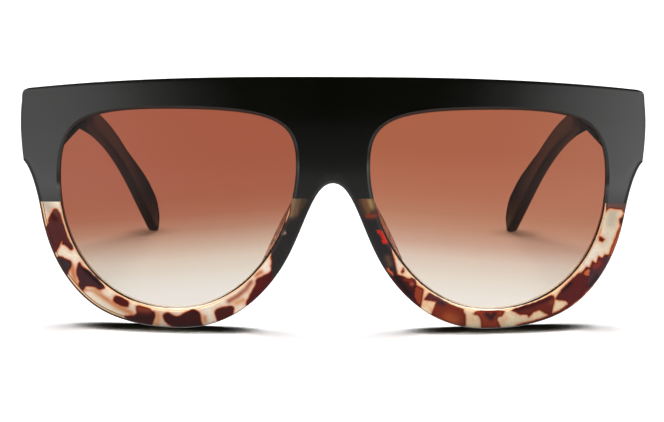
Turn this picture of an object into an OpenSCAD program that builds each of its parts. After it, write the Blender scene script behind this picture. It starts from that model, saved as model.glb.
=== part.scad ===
// Flat-top two-tone sunglasses, temples open, standing on the rims and the temple tips.
// +X is the wearer's left, -Y is the face seen by others, +Z is up. The origin lies on the
// table, under the middle of the bounding box. Left and right are the wearer's.

/* [Lenses] */
// Width of one lens opening
lens_w = 56; // [50:0.5:62]
// Height of one lens opening
lens_h = 47.4; // [42:0.1:52]
// Thickness of a lens
lens_t = 2; // [1.6:0.1:2.3]

/* [Front] */
// Distance between the two lens openings
bridge_w = 17.3; // [15:0.1:22]
// Height of the bridge, from the brow line down to the nose arch
bridge_h = 24.7; // [22:0.1:30]
// Width of the rim beside the nose
rim_nasal = 3.4; // [3:0.1:4.5]
// Width of the rim below a nose pad, where its nasal side is widest
rim_nasal_low = 4.9; // [4:0.1:6]
// Width of the rim at its foot
rim_low = 4.7; // [4:0.1:5.5]
// Width of the rim between its foot and the end-piece
rim_temporal_low = 5.9; // [5:0.1:7]
// Width of the rim below the end-piece
rim_temporal = 5.5; // [4.5:0.1:6.5]
// Width of the brow above the lenses
brow_w = 7.6; // [6:0.1:10]
// How far the brow line drops from the middle to the ends
brow_drop = 4.1; // [2:0.1:6]
// Width of the end-piece beside the lens opening
end_w = 9.6; // [9:0.1:11]
// Height of the end-piece, from the brow line to its lower corner
end_h = 22.4; // [20.5:0.1:25]
// Radius of the wrap of the face, seen from above
face_r = 260; // [200:5:400]
// Thickness of the front
front_t = 4.2; // [4:0.1:5]
// Depth of the butt block behind the end-piece
butt_depth = 3; // [2.6:0.1:4]
// Height of the line between the two colours at the end-piece
splice_outer = 29; // [26:0.5:33]
// Height of the line between the two colours at the nose
splice_inner = 31.5; // [27:0.5:32]

/* [Lens groove] */
// Depth of the groove around a lens opening
groove_depth = 0.7; // [0.4:0.1:1]
// Material in front of the groove
groove_lip = 1.1; // [0.9:0.1:1.3]
// Clearance of glued and seated pieces
seat_clear = 0.05; // [0.02:0.01:0.1]

/* [Nose pads] */
// Depth of a pad behind the front
pad_depth = 6; // [4:0.5:8]
// Thickness of a pad at its back
pad_t = 2.4; // [2:0.1:3]
// Length of a pad along the rim
pad_len = 22; // [16:0.5:24]
// Lean of a pad's face, away from the nose
pad_lean = 20; // [15:1:35]

/* [Temples] */
// Thickness of a temple
temple_t = 3.4; // [3.2:0.1:4]
// Height of a temple at the hinge
root_h = 16; // [13:0.5:17]
// Height of a temple above the ear
bend_h = 6.8; // [6:0.1:9]
// Height of the paddle at the tip
tip_h = 11.5; // [9:0.1:13]
// Length over which a temple narrows
taper_len = 96; // [80:1:105]
// Fall of the straight part, in degrees
temple_slope = 3.3; // [1:0.1:4]
// Length from the hinge to the bend over the ear
bend_start = 70.5; // [60:0.5:75]
// Radius of the bend over the ear
bend_r = 60; // [50:0.5:64]
// Fall of the tip, in degrees
ear_drop = 54.5; // [50:0.5:60]
// Length from the hinge to the turn inward
inward_start = 78; // [70:1:85]
// Radius of the turn inward
inward_r = 44; // [40:1:60]
// Turn of the tip toward the head, in degrees
inward = 16; // [14:1:18]
// Length from the hinge to where the paddle starts to widen
paddle_start = 112.5; // [105:0.5:115]
// Length over which the paddle widens
paddle_len = 22; // [16:1:24]
// Length over which the paddle's upper edge comes down to the tip
tip_round = 6.5; // [5:0.5:9]
// Rounding of the tip's lower corner
heel_r = 1.6; // [1.2:0.1:2.4]
// Rounding of a temple's long edges
temple_edge = 1.1; // [0.8:0.1:1.4]

/* [Hinges] */
// Radius of a hinge barrel
barrel_r = 1.3; // [1.2:0.05:1.5]
// Height of one barrel
barrel_h = 1.5; // [1.3:0.05:1.7]
// Gap between neighbouring barrels
barrel_gap = 0.1; // [0.08:0.01:0.15]
// Radius of the screw's shank
screw_r = 0.7; // [0.6:0.05:0.8]
// Running clearance of the screw in the temple's barrels
screw_clear = 0.05; // [0.03:0.01:0.08]
// Thickness of the leaf in the temple
leaf_t = 0.8; // [0.6:0.05:0.9]
// Length of the leaf in the temple
leaf_len = 11; // [8:0.5:14]
// Thickness of the plate in the front
plate_t = 1; // [0.8:0.05:1.1]
// Width of the plate in the front
plate_w = 3.2; // [2.8:0.1:3.4]
// Gap between a temple and what it turns past
swing_gap = 0.3; // [0.25:0.05:0.4]

/* [Temple cores] */
// Thickness of the core wire
core_t = 0.9; // [0.7:0.05:1]
// Height of the core wire
core_h = 2.2; // [1.8:0.1:3]
// Distance from the end of the core to the tip
core_end = 9; // [7:1:14]

/* [Hidden] */
$fn = 48;
// Flats that stand for the large face circle
face_fn = 360;
// Points on one quarter of a lens outline
quarter_n = 12;
// Length beyond what a cut goes through
past = 1;

// Colours
black_acetate = [0.06, 0.055, 0.05];
tortoise_acetate = [0.55, 0.33, 0.2];
lens_brown = [0.62, 0.36, 0.25];
nickel = [0.72, 0.7, 0.66];

// Heights on the front
lens_low = rim_low;
lens_top = lens_low + lens_h;
brow_z = lens_top + brow_w;
arch_z = brow_z - bridge_h;
end_low_z = brow_z - end_h;

// Widths on the front
lens_in_x = bridge_w / 2;
lens_out_x = lens_in_x + lens_w;
end_x = lens_out_x + end_w;
// The end-piece leans in toward its back by this much
end_taper = 2.05;
temple_out_x = end_x - end_taper;
temple_in_x = temple_out_x - temple_t;
temple_mid_x = temple_out_x - temple_t / 2;

// Depth of the face at a distance x from the middle, for a surface inset by t
function face_y(x, t = 0) = face_r - sqrt(pow(face_r - t, 2) - x * x);

// Hinge axis and the plane where a temple meets the front
joint_y = face_y(temple_out_x, front_t) + butt_depth;
axis_x = temple_in_x - barrel_r - swing_gap;
axis_y = joint_y;
// Height of a temple's lower edge above the corner of the end-piece
root_rise = 0.3;
root_z = end_low_z + root_h / 2 + root_rise;
stack_h = 5 * barrel_h + 4 * barrel_gap;
stack_z = root_z - stack_h / 2;
barrel_pitch = barrel_h + barrel_gap;

// Lens outline: the four extreme points sit at these shares of the box
lens_peak = 0.46;
lens_waist = 0.63;
lens_foot = 0.51;
lens_nose = 0.73;
peak_x = lens_in_x + lens_peak * lens_w;
foot_x = lens_in_x + lens_foot * lens_w;
waist_z = lens_low + lens_waist * lens_h;
nose_z = lens_low + lens_nose * lens_h;

function mix(a, b, t) = a + (b - a) * t;
function ease(t) = let (c = max(0, min(1, t))) c * c * (3 - 2 * c);
function unit(v) = v / norm(v);
function bezier(p, t) = pow(1 - t, 3) * p[0] + 3 * pow(1 - t, 2) * t * p[1]
    + 3 * (1 - t) * t * t * p[2] + pow(t, 3) * p[3];
function bezier_way(p, t) = pow(1 - t, 2) * (p[1] - p[0])
    + 2 * (1 - t) * t * (p[2] - p[1]) + t * t * (p[3] - p[2]);

// One quarter of the lens outline: from a to b, leaving a along x or z, and how full
// the curve is at each end
function quarter(a, b, x_first, full_a, full_b) = x_first
    ? [a, [mix(a[0], b[0], full_a), a[1]], [b[0], mix(b[1], a[1], full_b)], b]
    : [a, [a[0], mix(a[1], b[1], full_a)], [mix(b[0], a[0], full_b), b[1]], b];
peak = [peak_x, lens_top];
waist = [lens_out_x, waist_z];
foot = [foot_x, lens_low];
nose = [lens_in_x, nose_z];
upper_outer = quarter(peak, waist, true, 0.83, 0.82);
lower_outer = quarter(waist, foot, false, 0.63, 0.56);
lower_inner = quarter(foot, nose, true, 0.52, 0.53);
upper_inner = quarter(nose, peak, false, 0.74, 0.87);

// A point of the quarter q, moved outward from the lens; all quarters run clockwise
function outward(q, t) = let (w = unit(bezier_way(q, t))) [-w[1], w[0]];
function lens_point(q, t, grow) = bezier(q, t) + grow * outward(q, t);
function lens_outline(grow = 0) = [
    for (q = [upper_outer, lower_outer, lower_inner, upper_inner])
        for (i = [0 : quarter_n - 1]) lens_point(q, i / quarter_n, grow)
];
// The rim is widest between its side and its foot, where its edge faces down by these angles
nasal_at = 62;
temporal_at = 50;
function rim_width(n) = let (
    down = atan2(-n[1], abs(n[0])),
    widest = n[0] > 0 ? temporal_at : nasal_at,
    beside = n[0] > 0 ? rim_temporal : rim_nasal,
    below = n[0] > 0 ? rim_temporal_low : rim_nasal_low
) down < widest ? mix(beside, below, ease(down / widest))
    : mix(below, rim_low, ease((down - widest) / (90 - widest)));
function rim_point(q, t) = let (n = outward(q, t)) bezier(q, t) + n * rim_width(n);

// Outline of the front, right half of the picture, from the middle of the brow
brow_power = 2.5;
corner_in = 1.5;
corner_down = 2.4;
corner_full = 0.7;
side_in = 0.5;
side_bulge = 0.25;
function brow_at(x) = brow_z - brow_drop * pow(x / end_x, brow_power);
brow_end_x = end_x - corner_in;
brow_line = [for (i = [0 : 12]) let (x = brow_end_x * sqrt(i / 12)) [x, brow_at(x)]];
brow_end = [brow_end_x, brow_at(brow_end_x)];
corner_point = [end_x - side_in, brow_at(end_x)];
side_top = corner_point - [0, corner_down];
corner = [for (i = [1 : 4]) bezier([
    brow_end, mix(brow_end, corner_point, corner_full),
    mix(side_top, corner_point, corner_full), side_top], i / 4)];
// The side ends above the lower corner of the end-piece
side_low_in = 0.65;
side_low_up = 1.5;
side_low = [end_x - side_low_in, end_low_z + side_low_up];
side = [for (i = [1 : 5]) bezier([
    side_top, [end_x + side_bulge, mix(side_top[1], side_low[1], 1 / 3)],
    [end_x, mix(side_top[1], side_low[1], 2 / 3)], side_low], i / 5)];
// The end-piece returns to the rim along a short slope
rim_start = 0.13;
rim_end = 0.75;
slope_in = 2.7;
slope_down = 0.3;
slope_lead = [1, 5.4];
rim_top = rim_point(lower_outer, rim_start);
slope = [for (i = [1 : 6]) bezier([
    side_low, [end_x - slope_in, end_low_z - slope_down], rim_top + slope_lead, rim_top], i / 6)];
rim_outer = [for (i = [1 : 12]) rim_point(lower_outer, mix(rim_start, 1, i / 12))];
rim_inner = [for (i = [1 : 12]) rim_point(lower_inner, mix(0, rim_end, i / 12))];
// The arch over the nose starts steeply and ends level
arch_lead = 1.4;
arch_rise = 0.15;
arch_full = 0.65;
arch_foot = rim_point(lower_inner, rim_end);
arch = [for (i = [1 : 8]) bezier([
    arch_foot, [arch_foot[0] - arch_lead, mix(arch_foot[1], arch_z, arch_rise)],
    [arch_foot[0] * arch_full, arch_z], [0, arch_z]], i / 8)];
half_outline = concat(brow_line, corner, side, slope, rim_outer, rim_inner, arch);

half_n = len(half_outline);
face_outline = concat(half_outline,
    [for (i = [half_n - 2 : -1 : 1]) [-half_outline[i][0], half_outline[i][1]]]);

module half_face() polygon(half_outline);
module whole_face() polygon(face_outline);
module lens_shape(grow = 0) polygon(lens_outline(grow));
module both_sides() {
    children();
    mirror([1, 0, 0]) children();
}
module on_side(left) {
    if (left) children();
    else mirror([1, 0, 0]) children();
}

// Draws an outline seen from the front and carries it through the whole depth
through_y = joint_y + butt_depth;
module along_y() translate([0, through_y, 0]) rotate([90, 0, 0])
    linear_extrude(2 * through_y) children();

// A sheet of the face between two insets
module sheet(outer, inner) translate([0, face_r, -past]) linear_extrude(brow_z + 2 * past)
    difference() {
        circle(face_r - outer, $fn = face_fn);
        circle(face_r - inner, $fn = face_fn);
    }

// Plan of the end-piece, leaning in toward its back
lean_share = 0.45;
lean_x = mix(end_x, temple_out_x, lean_share);
lean_y = mix(face_y(end_x), joint_y, lean_share);
module butt_block() translate([0, 0, end_low_z - past])
    linear_extrude(root_h + root_rise + past) polygon([
        [temple_in_x, face_y(temple_in_x, front_t) - past],
        [temple_in_x, joint_y - swing_gap / 2],
        [temple_out_x, joint_y - swing_gap / 2],
        [lean_x, lean_y]
    ]);
// What lies outside that plan. It starts a hair off the end, so that no faces coincide, and
// its slanting side runs on past the joint
hair = 0.01;
lean_past = 1.3;
module outside_of_ends() translate([0, 0, -past]) linear_extrude(brow_z + 2 * past)
    both_sides() polygon([
        [end_x + hair, face_y(end_x) - past],
        [end_x + hair, face_y(end_x)],
        [mix(end_x, temple_out_x, lean_past), mix(face_y(end_x), joint_y, lean_past)],
        [2 * end_x, 2 * joint_y],
        [2 * end_x, face_y(end_x) - past]
    ]);

// Line between the two colours
splice_tilt = (splice_inner - splice_outer) / (end_x - lens_in_x);
function splice_at(x) = splice_outer + splice_tilt * (end_x - x);
module upper_half() polygon([
    [-end_x - past, brow_z + past], [-end_x - past, splice_at(end_x + past)],
    [0, splice_at(0)],
    [end_x + past, splice_at(end_x + past)], [end_x + past, brow_z + past]
]);

module groove() intersection() {
    sheet(groove_lip - seat_clear, groove_lip + lens_t + seat_clear);
    along_y() lens_shape(groove_depth);
}

// Pocket in the back of the end-piece that the hinge plate is sunk in
plate_x = axis_x - plate_w / 2;
plate_sunk = 0.7;
plate_y = face_y(plate_x, front_t) - plate_sunk * plate_t;
plate_rim = 0.5;
plate_h = stack_h + 2 * plate_rim;
module plate_pocket() translate([plate_x - seat_clear, plate_y - seat_clear,
        root_z - plate_h / 2 - seat_clear])
    cube([plate_w + 2 * seat_clear, plate_t + butt_depth + past, plate_h + 2 * seat_clear]);

module front_upper() color(black_acetate) difference() {
    intersection() {
        union() {
            sheet(0, front_t);
            both_sides() butt_block();
        }
        along_y() difference() {
            intersection() {
                whole_face();
                upper_half();
            }
            both_sides() lens_shape();
        }
    }
    outside_of_ends();
    both_sides() {
        groove();
        plate_pocket();
    }
}

module rim_lower(left) color(tortoise_acetate) on_side(left) difference() {
    intersection() {
        sheet(0, front_t);
        along_y() difference() {
            half_face();
            upper_half();
            lens_shape();
        }
    }
    groove();
}

module lens(left) color(lens_brown, 0.6) on_side(left) intersection() {
    sheet(groove_lip, groove_lip + lens_t);
    along_y() lens_shape(groove_depth - seat_clear);
}

// Rounded sections carried along a path, closed at both ends
function ring_faces(rings, sides) = concat(
    [for (i = [0 : rings - 2]) for (j = [0 : sides - 1]) let (k = (j + 1) % sides)
        [i * sides + j, i * sides + k, (i + 1) * sides + k]],
    [for (i = [0 : rings - 2]) for (j = [0 : sides - 1]) let (k = (j + 1) % sides)
        [i * sides + j, (i + 1) * sides + k, (i + 1) * sides + j]],
    [for (j = [1 : sides - 2]) [0, j + 1, j]],
    [for (j = [1 : sides - 2]) let (o = (rings - 1) * sides) [o, o + j, o + j + 1]]
);
module skin(rings) polyhedron(
    points = [for (r = rings) each r],
    faces = ring_faces(len(rings), len(rings[0]))
);

// Nose pad: leans away from the nose and fades out along the nasal rim
pad_rings = 12;
pad_top_t = 0.86;
// Straight line from the lens's foot to its nose, as a share of the curve between them
nasal_bow = 0.82;
pad_low_t = pad_top_t - pad_len / norm(foot - nose) * nasal_bow;
pad_inset = 0.25;
pad_root = rim_nasal - 2 * pad_inset;
pad_bury = 1;
function pad_section(t, u) = let (
    n = outward(lower_inner, t),
    mid = bezier(lower_inner, t) + n * rim_width(n) / 2,
    depth = (pad_depth + pad_bury / 3) * pow(max(0, sin(180 * u)), 0.8) - pad_bury / 3,
    back_y = face_y(mid[0], front_t),
    thick = mix(pad_root, pad_t, u < 0.5 ? 2 * u : 2 - 2 * u)
) [for (v = [
        [-pad_root / 2, -pad_bury], [pad_root / 2, -pad_bury],
        [thick / 2, depth * 0.5], [thick * 0.46, depth * 0.78],
        [thick * 0.28, depth * 0.94], [0, depth], [-thick * 0.28, depth * 0.94],
        [-thick * 0.46, depth * 0.78], [-thick / 2, depth * 0.5]
    ]) let (
        behind = max(v[1], 0),
        across = v[0] - behind * tan(pad_lean)
    ) [mid[0] + n[0] * across, back_y + v[1], mid[1] + n[1] * across]];
module nose_pad(left) color(tortoise_acetate) on_side(left) intersection() {
    skin([for (i = [0 : pad_rings]) let (u = i / pad_rings)
        pad_section(mix(pad_low_t, pad_top_t, u), u)]);
    translate([0, face_r, 0]) cylinder(h = brow_z, r = face_r - front_t - seat_clear, $fn = face_fn);
}

// Path of a temple's middle line, by the length s from the joint
function fall(s) = min(ear_drop, temple_slope + max(0, s - bend_start) / bend_r * 180 / PI);
function turn(s) = min(inward, max(0, s - inward_start) / inward_r * 180 / PI);
function heading(s) = [-sin(turn(s)), cos(fall(s)) * cos(turn(s)), -sin(fall(s)) * cos(turn(s))];
function upward(s) = [0, sin(fall(s)), cos(fall(s))];
function sideways(s) = [cos(turn(s)), sin(turn(s)), 0];
root_point = [temple_mid_x, joint_y, root_z];
bends_end = max(bend_start + (ear_drop - temple_slope) * PI / 180 * bend_r,
    inward_start + inward * PI / 180 * inward_r);
// The middle line, in steps up to the end of the bends
path_n = 44;
path_step = bends_end / path_n;
path = [for (i = 0, p = root_point; i <= path_n;
    p = p + path_step * heading((i + 0.5) * path_step), i = i + 1) p];
function on_path(s) = let (i = max(0, min(path_n - 1, floor(s / path_step))))
    s >= bends_end ? path[path_n] + (s - bends_end) * heading(s)
    : s < 0 ? root_point + s * heading(0)
    : mix(path[i], path[i + 1], s / path_step - i);

// The rounded lower corner of the tip just touches the table. Its middle lies heel_up below
// the path at the length heel_s
heel_up = heel_r - bend_h / 2;
heel_reach = heel_r * sqrt(pow(sin(ear_drop) * cos(inward), 2) + pow(cos(ear_drop), 2));
heel_s = bends_end
    + (path[path_n][2] + heel_up * cos(ear_drop) - heel_reach) / (sin(ear_drop) * cos(inward));
temple_len = heel_s + heel_r;
round_s = temple_len - tip_round;
round_middle = on_path(round_s) + heel_up * upward(round_s);
paddle_back = norm([tip_round * cos(ear_drop) * cos(inward), (tip_h - heel_r) * sin(ear_drop)]);
overall_depth = round_middle[1] + paddle_back + (temple_t / 2 - temple_edge) * sin(inward);

// Height of a temple above and below its middle line. Only the upper edge widens to the paddle
function taper(s) = (root_h - bend_h) / 2 * (1 - ease(s / taper_len));
function arc_share(s, start, len) = sqrt(max(0, 1 - pow(max(0, (s - start) / len), 2)));
function above(s) = mix(heel_up,
    bend_h / 2 + taper(s) + (tip_h - bend_h) * ease((s - paddle_start) / paddle_len),
    arc_share(s, round_s, tip_round));
function below(s) = bend_h / 2 + taper(s) - heel_r * (1 - arc_share(s, heel_s, heel_r));

// Rounded rectangle across the path, wide w, from low below it to high above it
function section(s, w, low, high, r) = [
    for (c = [[1, 1], [-1, 1], [-1, -1], [1, -1]])
        for (a = c[0] * c[1] > 0 ? [0, 30, 60, 90] : [90, 60, 30, 0])
            on_path(s)
            + sideways(s) * c[0] * (w / 2 - r + r * cos(a))
            + upward(s) * c[1] * ((c[1] > 0 ? high : low) - r + r * sin(a))
];
temple_stations = concat(
    [-2 * past],
    [for (i = [0 : 12]) bend_start * i / 12],
    [for (i = [1 : 16]) mix(bend_start, bends_end, i / 16)],
    [for (i = [1 : 3]) mix(bends_end, round_s, i / 3)],
    [for (a = [12 : 12 : 84]) round_s + tip_round * sin(a)],
    [round_s + tip_round * sin(87)]
);
module temple_body() skin([for (s = temple_stations) section(s, temple_t, below(s), above(s),
    min(temple_edge, (above(s) + below(s)) * 0.45))]);

core_start = 0.5;
core_stop = temple_len - core_end;
module core(grow) skin([
    for (s = concat(
        [grow > 0 ? -past : core_start],
        [for (i = [1 : 4]) bend_start * i / 4],
        [for (i = [1 : 12]) mix(bend_start, bends_end, i / 12)],
        [core_stop + grow]))
        section(s, core_t + 2 * grow, core_h / 2 + grow, core_h / 2 + grow, core_t / 3)
]);

// The leaf lies in a pocket that is open at the joint and toward the head
leaf_in = 0.3;
leaf_h = stack_h - 2 * leaf_in;
leaf_start = joint_y + swing_gap;
leaf_neck = 1.6;
module leaf() translate([temple_in_x, leaf_start, root_z - leaf_h / 2])
    cube([leaf_t, leaf_len, leaf_h]);
module leaf_pocket() translate([temple_in_x - past, joint_y - past,
        root_z - leaf_h / 2 - seat_clear])
    cube([leaf_t + past + seat_clear, leaf_start - joint_y + leaf_len + past + seat_clear,
        leaf_h + 2 * seat_clear]);

module temple(left) color(black_acetate) on_side(left) difference() {
    temple_body();
    translate([temple_in_x - temple_t, joint_y + swing_gap / 2 - root_h, root_z - root_h])
        cube([3 * temple_t, root_h, 2 * root_h]);
    leaf_pocket();
    core(seat_clear);
}

module temple_core(left) color(nickel) on_side(left) core(0);

// Barrels are counted from below; the front has 0, 2 and 4, the temple 1 and 3
module barrel_at(i) translate([axis_x, axis_y, stack_z + i * barrel_pitch]) children();
front_bore = screw_r + seat_clear / 2;
temple_bore = screw_r + screw_clear;
neck_in = 0.2;
neck_w = 2 * (barrel_r - neck_in);

module front_hinge(left) color(nickel) on_side(left) difference() {
    union() {
        translate([plate_x, plate_y, root_z - plate_h / 2]) cube([plate_w, plate_t, plate_h]);
        for (i = [0, 2, 4]) barrel_at(i) {
            cylinder(h = barrel_h, r = barrel_r);
            translate([-neck_w / 2, plate_y + plate_t / 2 - axis_y, 0])
                cube([neck_w, axis_y - plate_y - plate_t / 2, barrel_h]);
        }
    }
    translate([axis_x, axis_y, stack_z - past]) cylinder(h = stack_h + 2 * past, r = front_bore);
}

module temple_hinge(left) color(nickel) on_side(left) difference() {
    union() {
        leaf();
        for (i = [1, 3]) barrel_at(i) {
            cylinder(h = barrel_h, r = barrel_r);
            cube([temple_in_x + leaf_t / 2 - axis_x, leaf_start - axis_y + leaf_neck, barrel_h]);
        }
    }
    translate([axis_x, axis_y, stack_z - past]) cylinder(h = stack_h + 2 * past, r = temple_bore);
}

head_r = 1.1;
head_h = 0.6;
slot_w = 0.35;
module hinge_screw(left) color(nickel) on_side(left)
    translate([axis_x, axis_y, stack_z]) difference() {
        union() {
            cylinder(h = stack_h, r = screw_r);
            translate([0, 0, stack_h]) cylinder(h = head_h, r = head_r);
        }
        translate([-head_r - past, -slot_w / 2, stack_h + head_h / 2])
            cube([2 * (head_r + past), slot_w, head_h]);
    }

module centred() translate([0, -overall_depth / 2, 0]) children();

centred() front_upper();
centred() rim_lower(true);  // rim_lower_left
centred() rim_lower(false);  // rim_lower_right
centred() lens(true);  // lens_left
centred() lens(false);  // lens_right
centred() nose_pad(true);  // nose_pad_left
centred() nose_pad(false);  // nose_pad_right
centred() front_hinge(true);  // front_hinge_left
centred() front_hinge(false);  // front_hinge_right
centred() hinge_screw(true);  // hinge_screw_left
centred() hinge_screw(false);  // hinge_screw_right
centred() temple(true);  // temple_left
centred() temple(false);  // temple_right
centred() temple_core(true);  // temple_core_left
centred() temple_core(false);  // temple_core_right
centred() temple_hinge(true);  // temple_hinge_left
centred() temple_hinge(false);  // temple_hinge_right
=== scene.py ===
import math

import bmesh
import bpy
import numpy as np
from mathutils import Matrix, Vector
from mathutils.geometry import delaunay_2d_cdt


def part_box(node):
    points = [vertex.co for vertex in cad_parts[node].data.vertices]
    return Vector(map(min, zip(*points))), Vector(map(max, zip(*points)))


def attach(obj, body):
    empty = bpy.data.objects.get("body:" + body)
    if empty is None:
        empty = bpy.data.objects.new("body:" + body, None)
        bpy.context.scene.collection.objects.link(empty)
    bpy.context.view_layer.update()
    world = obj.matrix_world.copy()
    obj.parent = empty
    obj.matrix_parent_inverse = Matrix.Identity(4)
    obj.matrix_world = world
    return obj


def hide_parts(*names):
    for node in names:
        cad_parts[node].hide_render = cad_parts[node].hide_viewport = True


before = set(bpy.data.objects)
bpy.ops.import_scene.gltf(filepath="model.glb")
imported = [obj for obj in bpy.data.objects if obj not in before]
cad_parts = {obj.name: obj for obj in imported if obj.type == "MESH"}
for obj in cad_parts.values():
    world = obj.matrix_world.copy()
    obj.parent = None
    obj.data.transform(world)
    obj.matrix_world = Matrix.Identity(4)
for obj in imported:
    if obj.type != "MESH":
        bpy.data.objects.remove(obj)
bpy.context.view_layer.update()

# Shapes are worked out in millimetres, from the frame, and the meshes are made in metres
MM = 0.001


def box_mm(node):
    """Lowest and highest corner of a CAD node, in millimetres."""
    low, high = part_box(node)
    return Vector(low) / MM, Vector(high) / MM


# Face and lens sizes, from the frame where a node's box gives them
lens_low, lens_high = box_mm("lens_left")
front_low, front_high = box_mm("front_upper")
temple_low, temple_high = box_mm("temple_left")
GROOVE_DEPTH = 0.7
SEAT_CLEAR = 0.05
LENS_SINK = GROOVE_DEPTH - SEAT_CLEAR
LENS_IN_X = lens_low.x + LENS_SINK
LENS_OUT_X = lens_high.x - LENS_SINK
LENS_LOW_Z = lens_low.z + LENS_SINK
LENS_TOP_Z = lens_high.z - LENS_SINK
LENS_W = LENS_OUT_X - LENS_IN_X
LENS_H = LENS_TOP_Z - LENS_LOW_Z
FACE_Y = front_low.y
BROW_Z = front_high.z
END_W = 9.8
END_H = 22.4
END_X = LENS_OUT_X + END_W
END_LOW_Z = BROW_Z - END_H
BRIDGE_H = 24.7
ARCH_Z = BROW_Z - BRIDGE_H
ARCH_REACH = 10.2
ARCH_FLAT = 0.41
BROW_DROP = 4.1
BROW_POWER = 2.5
FACE_R = 260.0
FRONT_T = 4.2
LENS_T = 2.0
GROOVE_LIP = 1.1
RIM_NASAL = 3.4
RIM_NASAL_LOW = 5.1
RIM_LOW = 4.7
RIM_TEMPORAL_LOW = 6.25
RIM_TEMPORAL = 5.5
SPLICE_OUTER = 29.0
SPLICE_INNER = 31.5

# Outline of the end-piece: its upper corner, its side, and the slope back to the rim
CORNER_IN = 1.5
CORNER_DOWN = 2.4
CORNER_FULL = 0.7
SIDE_IN = 0.5
SIDE_IN_LOW = 0.65
SIDE_UP = 1.5
SIDE_BOW = 0.25
SLOPE_IN = 2.7
SLOPE_DOWN = 0.3
SLOPE_LEAD = Vector((1.0, 5.4))
# Which shares of the lens's lower quarters the rim follows
RIM_START = 0.13
RIM_END = 0.55

# Temple and hinge
TEMPLE_T = 3.4
TEMPLE_OUT_X = temple_high.x
TEMPLE_IN_X = TEMPLE_OUT_X - TEMPLE_T
TEMPLE_MID_X = TEMPLE_OUT_X - TEMPLE_T / 2
SWING_GAP = 0.3
JOINT_Y = temple_low.y - SWING_GAP / 2
ROOT_H = 16.0
ROOT_LIFT = 0.3
ROOT_Z = END_LOW_Z + ROOT_LIFT + ROOT_H / 2
LEAF_H = 7.3


def mix(a, b, t):
    return a + (b - a) * t


def ease(t):
    c = max(0.0, min(1.0, t))
    return c * c * (3 - 2 * c)


def bezier(p, t):
    s = 1 - t
    return s ** 3 * p[0] + 3 * s * s * t * p[1] + 3 * s * t * t * p[2] + t ** 3 * p[3]


def bezier_way(p, t):
    s = 1 - t
    return s * s * (p[1] - p[0]) + 2 * s * t * (p[2] - p[1]) + t * t * (p[3] - p[2])


def quarter(a, b, x_first, full_a, full_b):
    """A quarter of the lens outline from a to b, leaving a along x or z. The two shares say how
    full it is near a and near b."""
    if x_first:
        return [a, Vector((mix(a.x, b.x, full_a), a.y)), Vector((b.x, mix(b.y, a.y, full_b))), b]
    return [a, Vector((a.x, mix(a.y, b.y, full_a))), Vector((mix(b.x, a.x, full_b), b.y)), b]


PEAK = Vector((LENS_IN_X + 0.46 * LENS_W, LENS_TOP_Z))
WAIST = Vector((LENS_OUT_X, LENS_LOW_Z + 0.63 * LENS_H))
FOOT = Vector((LENS_IN_X + 0.51 * LENS_W, LENS_LOW_Z))
NOSE = Vector((LENS_IN_X, LENS_LOW_Z + 0.73 * LENS_H))
UPPER_OUTER = quarter(PEAK, WAIST, True, 0.83, 0.82)
LOWER_OUTER = quarter(WAIST, FOOT, False, 0.63, 0.56)
LOWER_INNER = quarter(FOOT, NOSE, True, 0.52, 0.53)
UPPER_INNER = quarter(NOSE, PEAK, False, 0.74, 0.87)


def outward(q, t):
    """Direction away from the lens; the quarters run clockwise, seen from the front."""
    w = bezier_way(q, t).normalized()
    return Vector((-w.y, w.x))


# The rim is widest between its side and its foot, where its edge faces down by these angles
NASAL_AT = 62.0
TEMPORAL_AT = 50.0


def rim_width(n):
    down = math.degrees(math.atan2(-n.y, abs(n.x)))
    widest = TEMPORAL_AT if n.x > 0 else NASAL_AT
    beside = RIM_TEMPORAL if n.x > 0 else RIM_NASAL
    below = RIM_TEMPORAL_LOW if n.x > 0 else RIM_NASAL_LOW
    if down < widest:
        return mix(beside, below, ease(down / widest))
    return mix(below, RIM_LOW, ease((down - widest) / (90 - widest)))


def rim_point(q, t):
    n = outward(q, t)
    return bezier(q, t) + n * rim_width(n)


# Steps along each curve of an outline, before it is thinned
DENSE = 160


def lens_loop():
    loop = []
    for q in (UPPER_OUTER, LOWER_OUTER, LOWER_INNER, UPPER_INNER):
        loop += [bezier(q, i / DENSE) for i in range(DENSE)]
    return loop


def brow_at(x):
    return BROW_Z - BROW_DROP * (x / END_X) ** BROW_POWER


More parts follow.
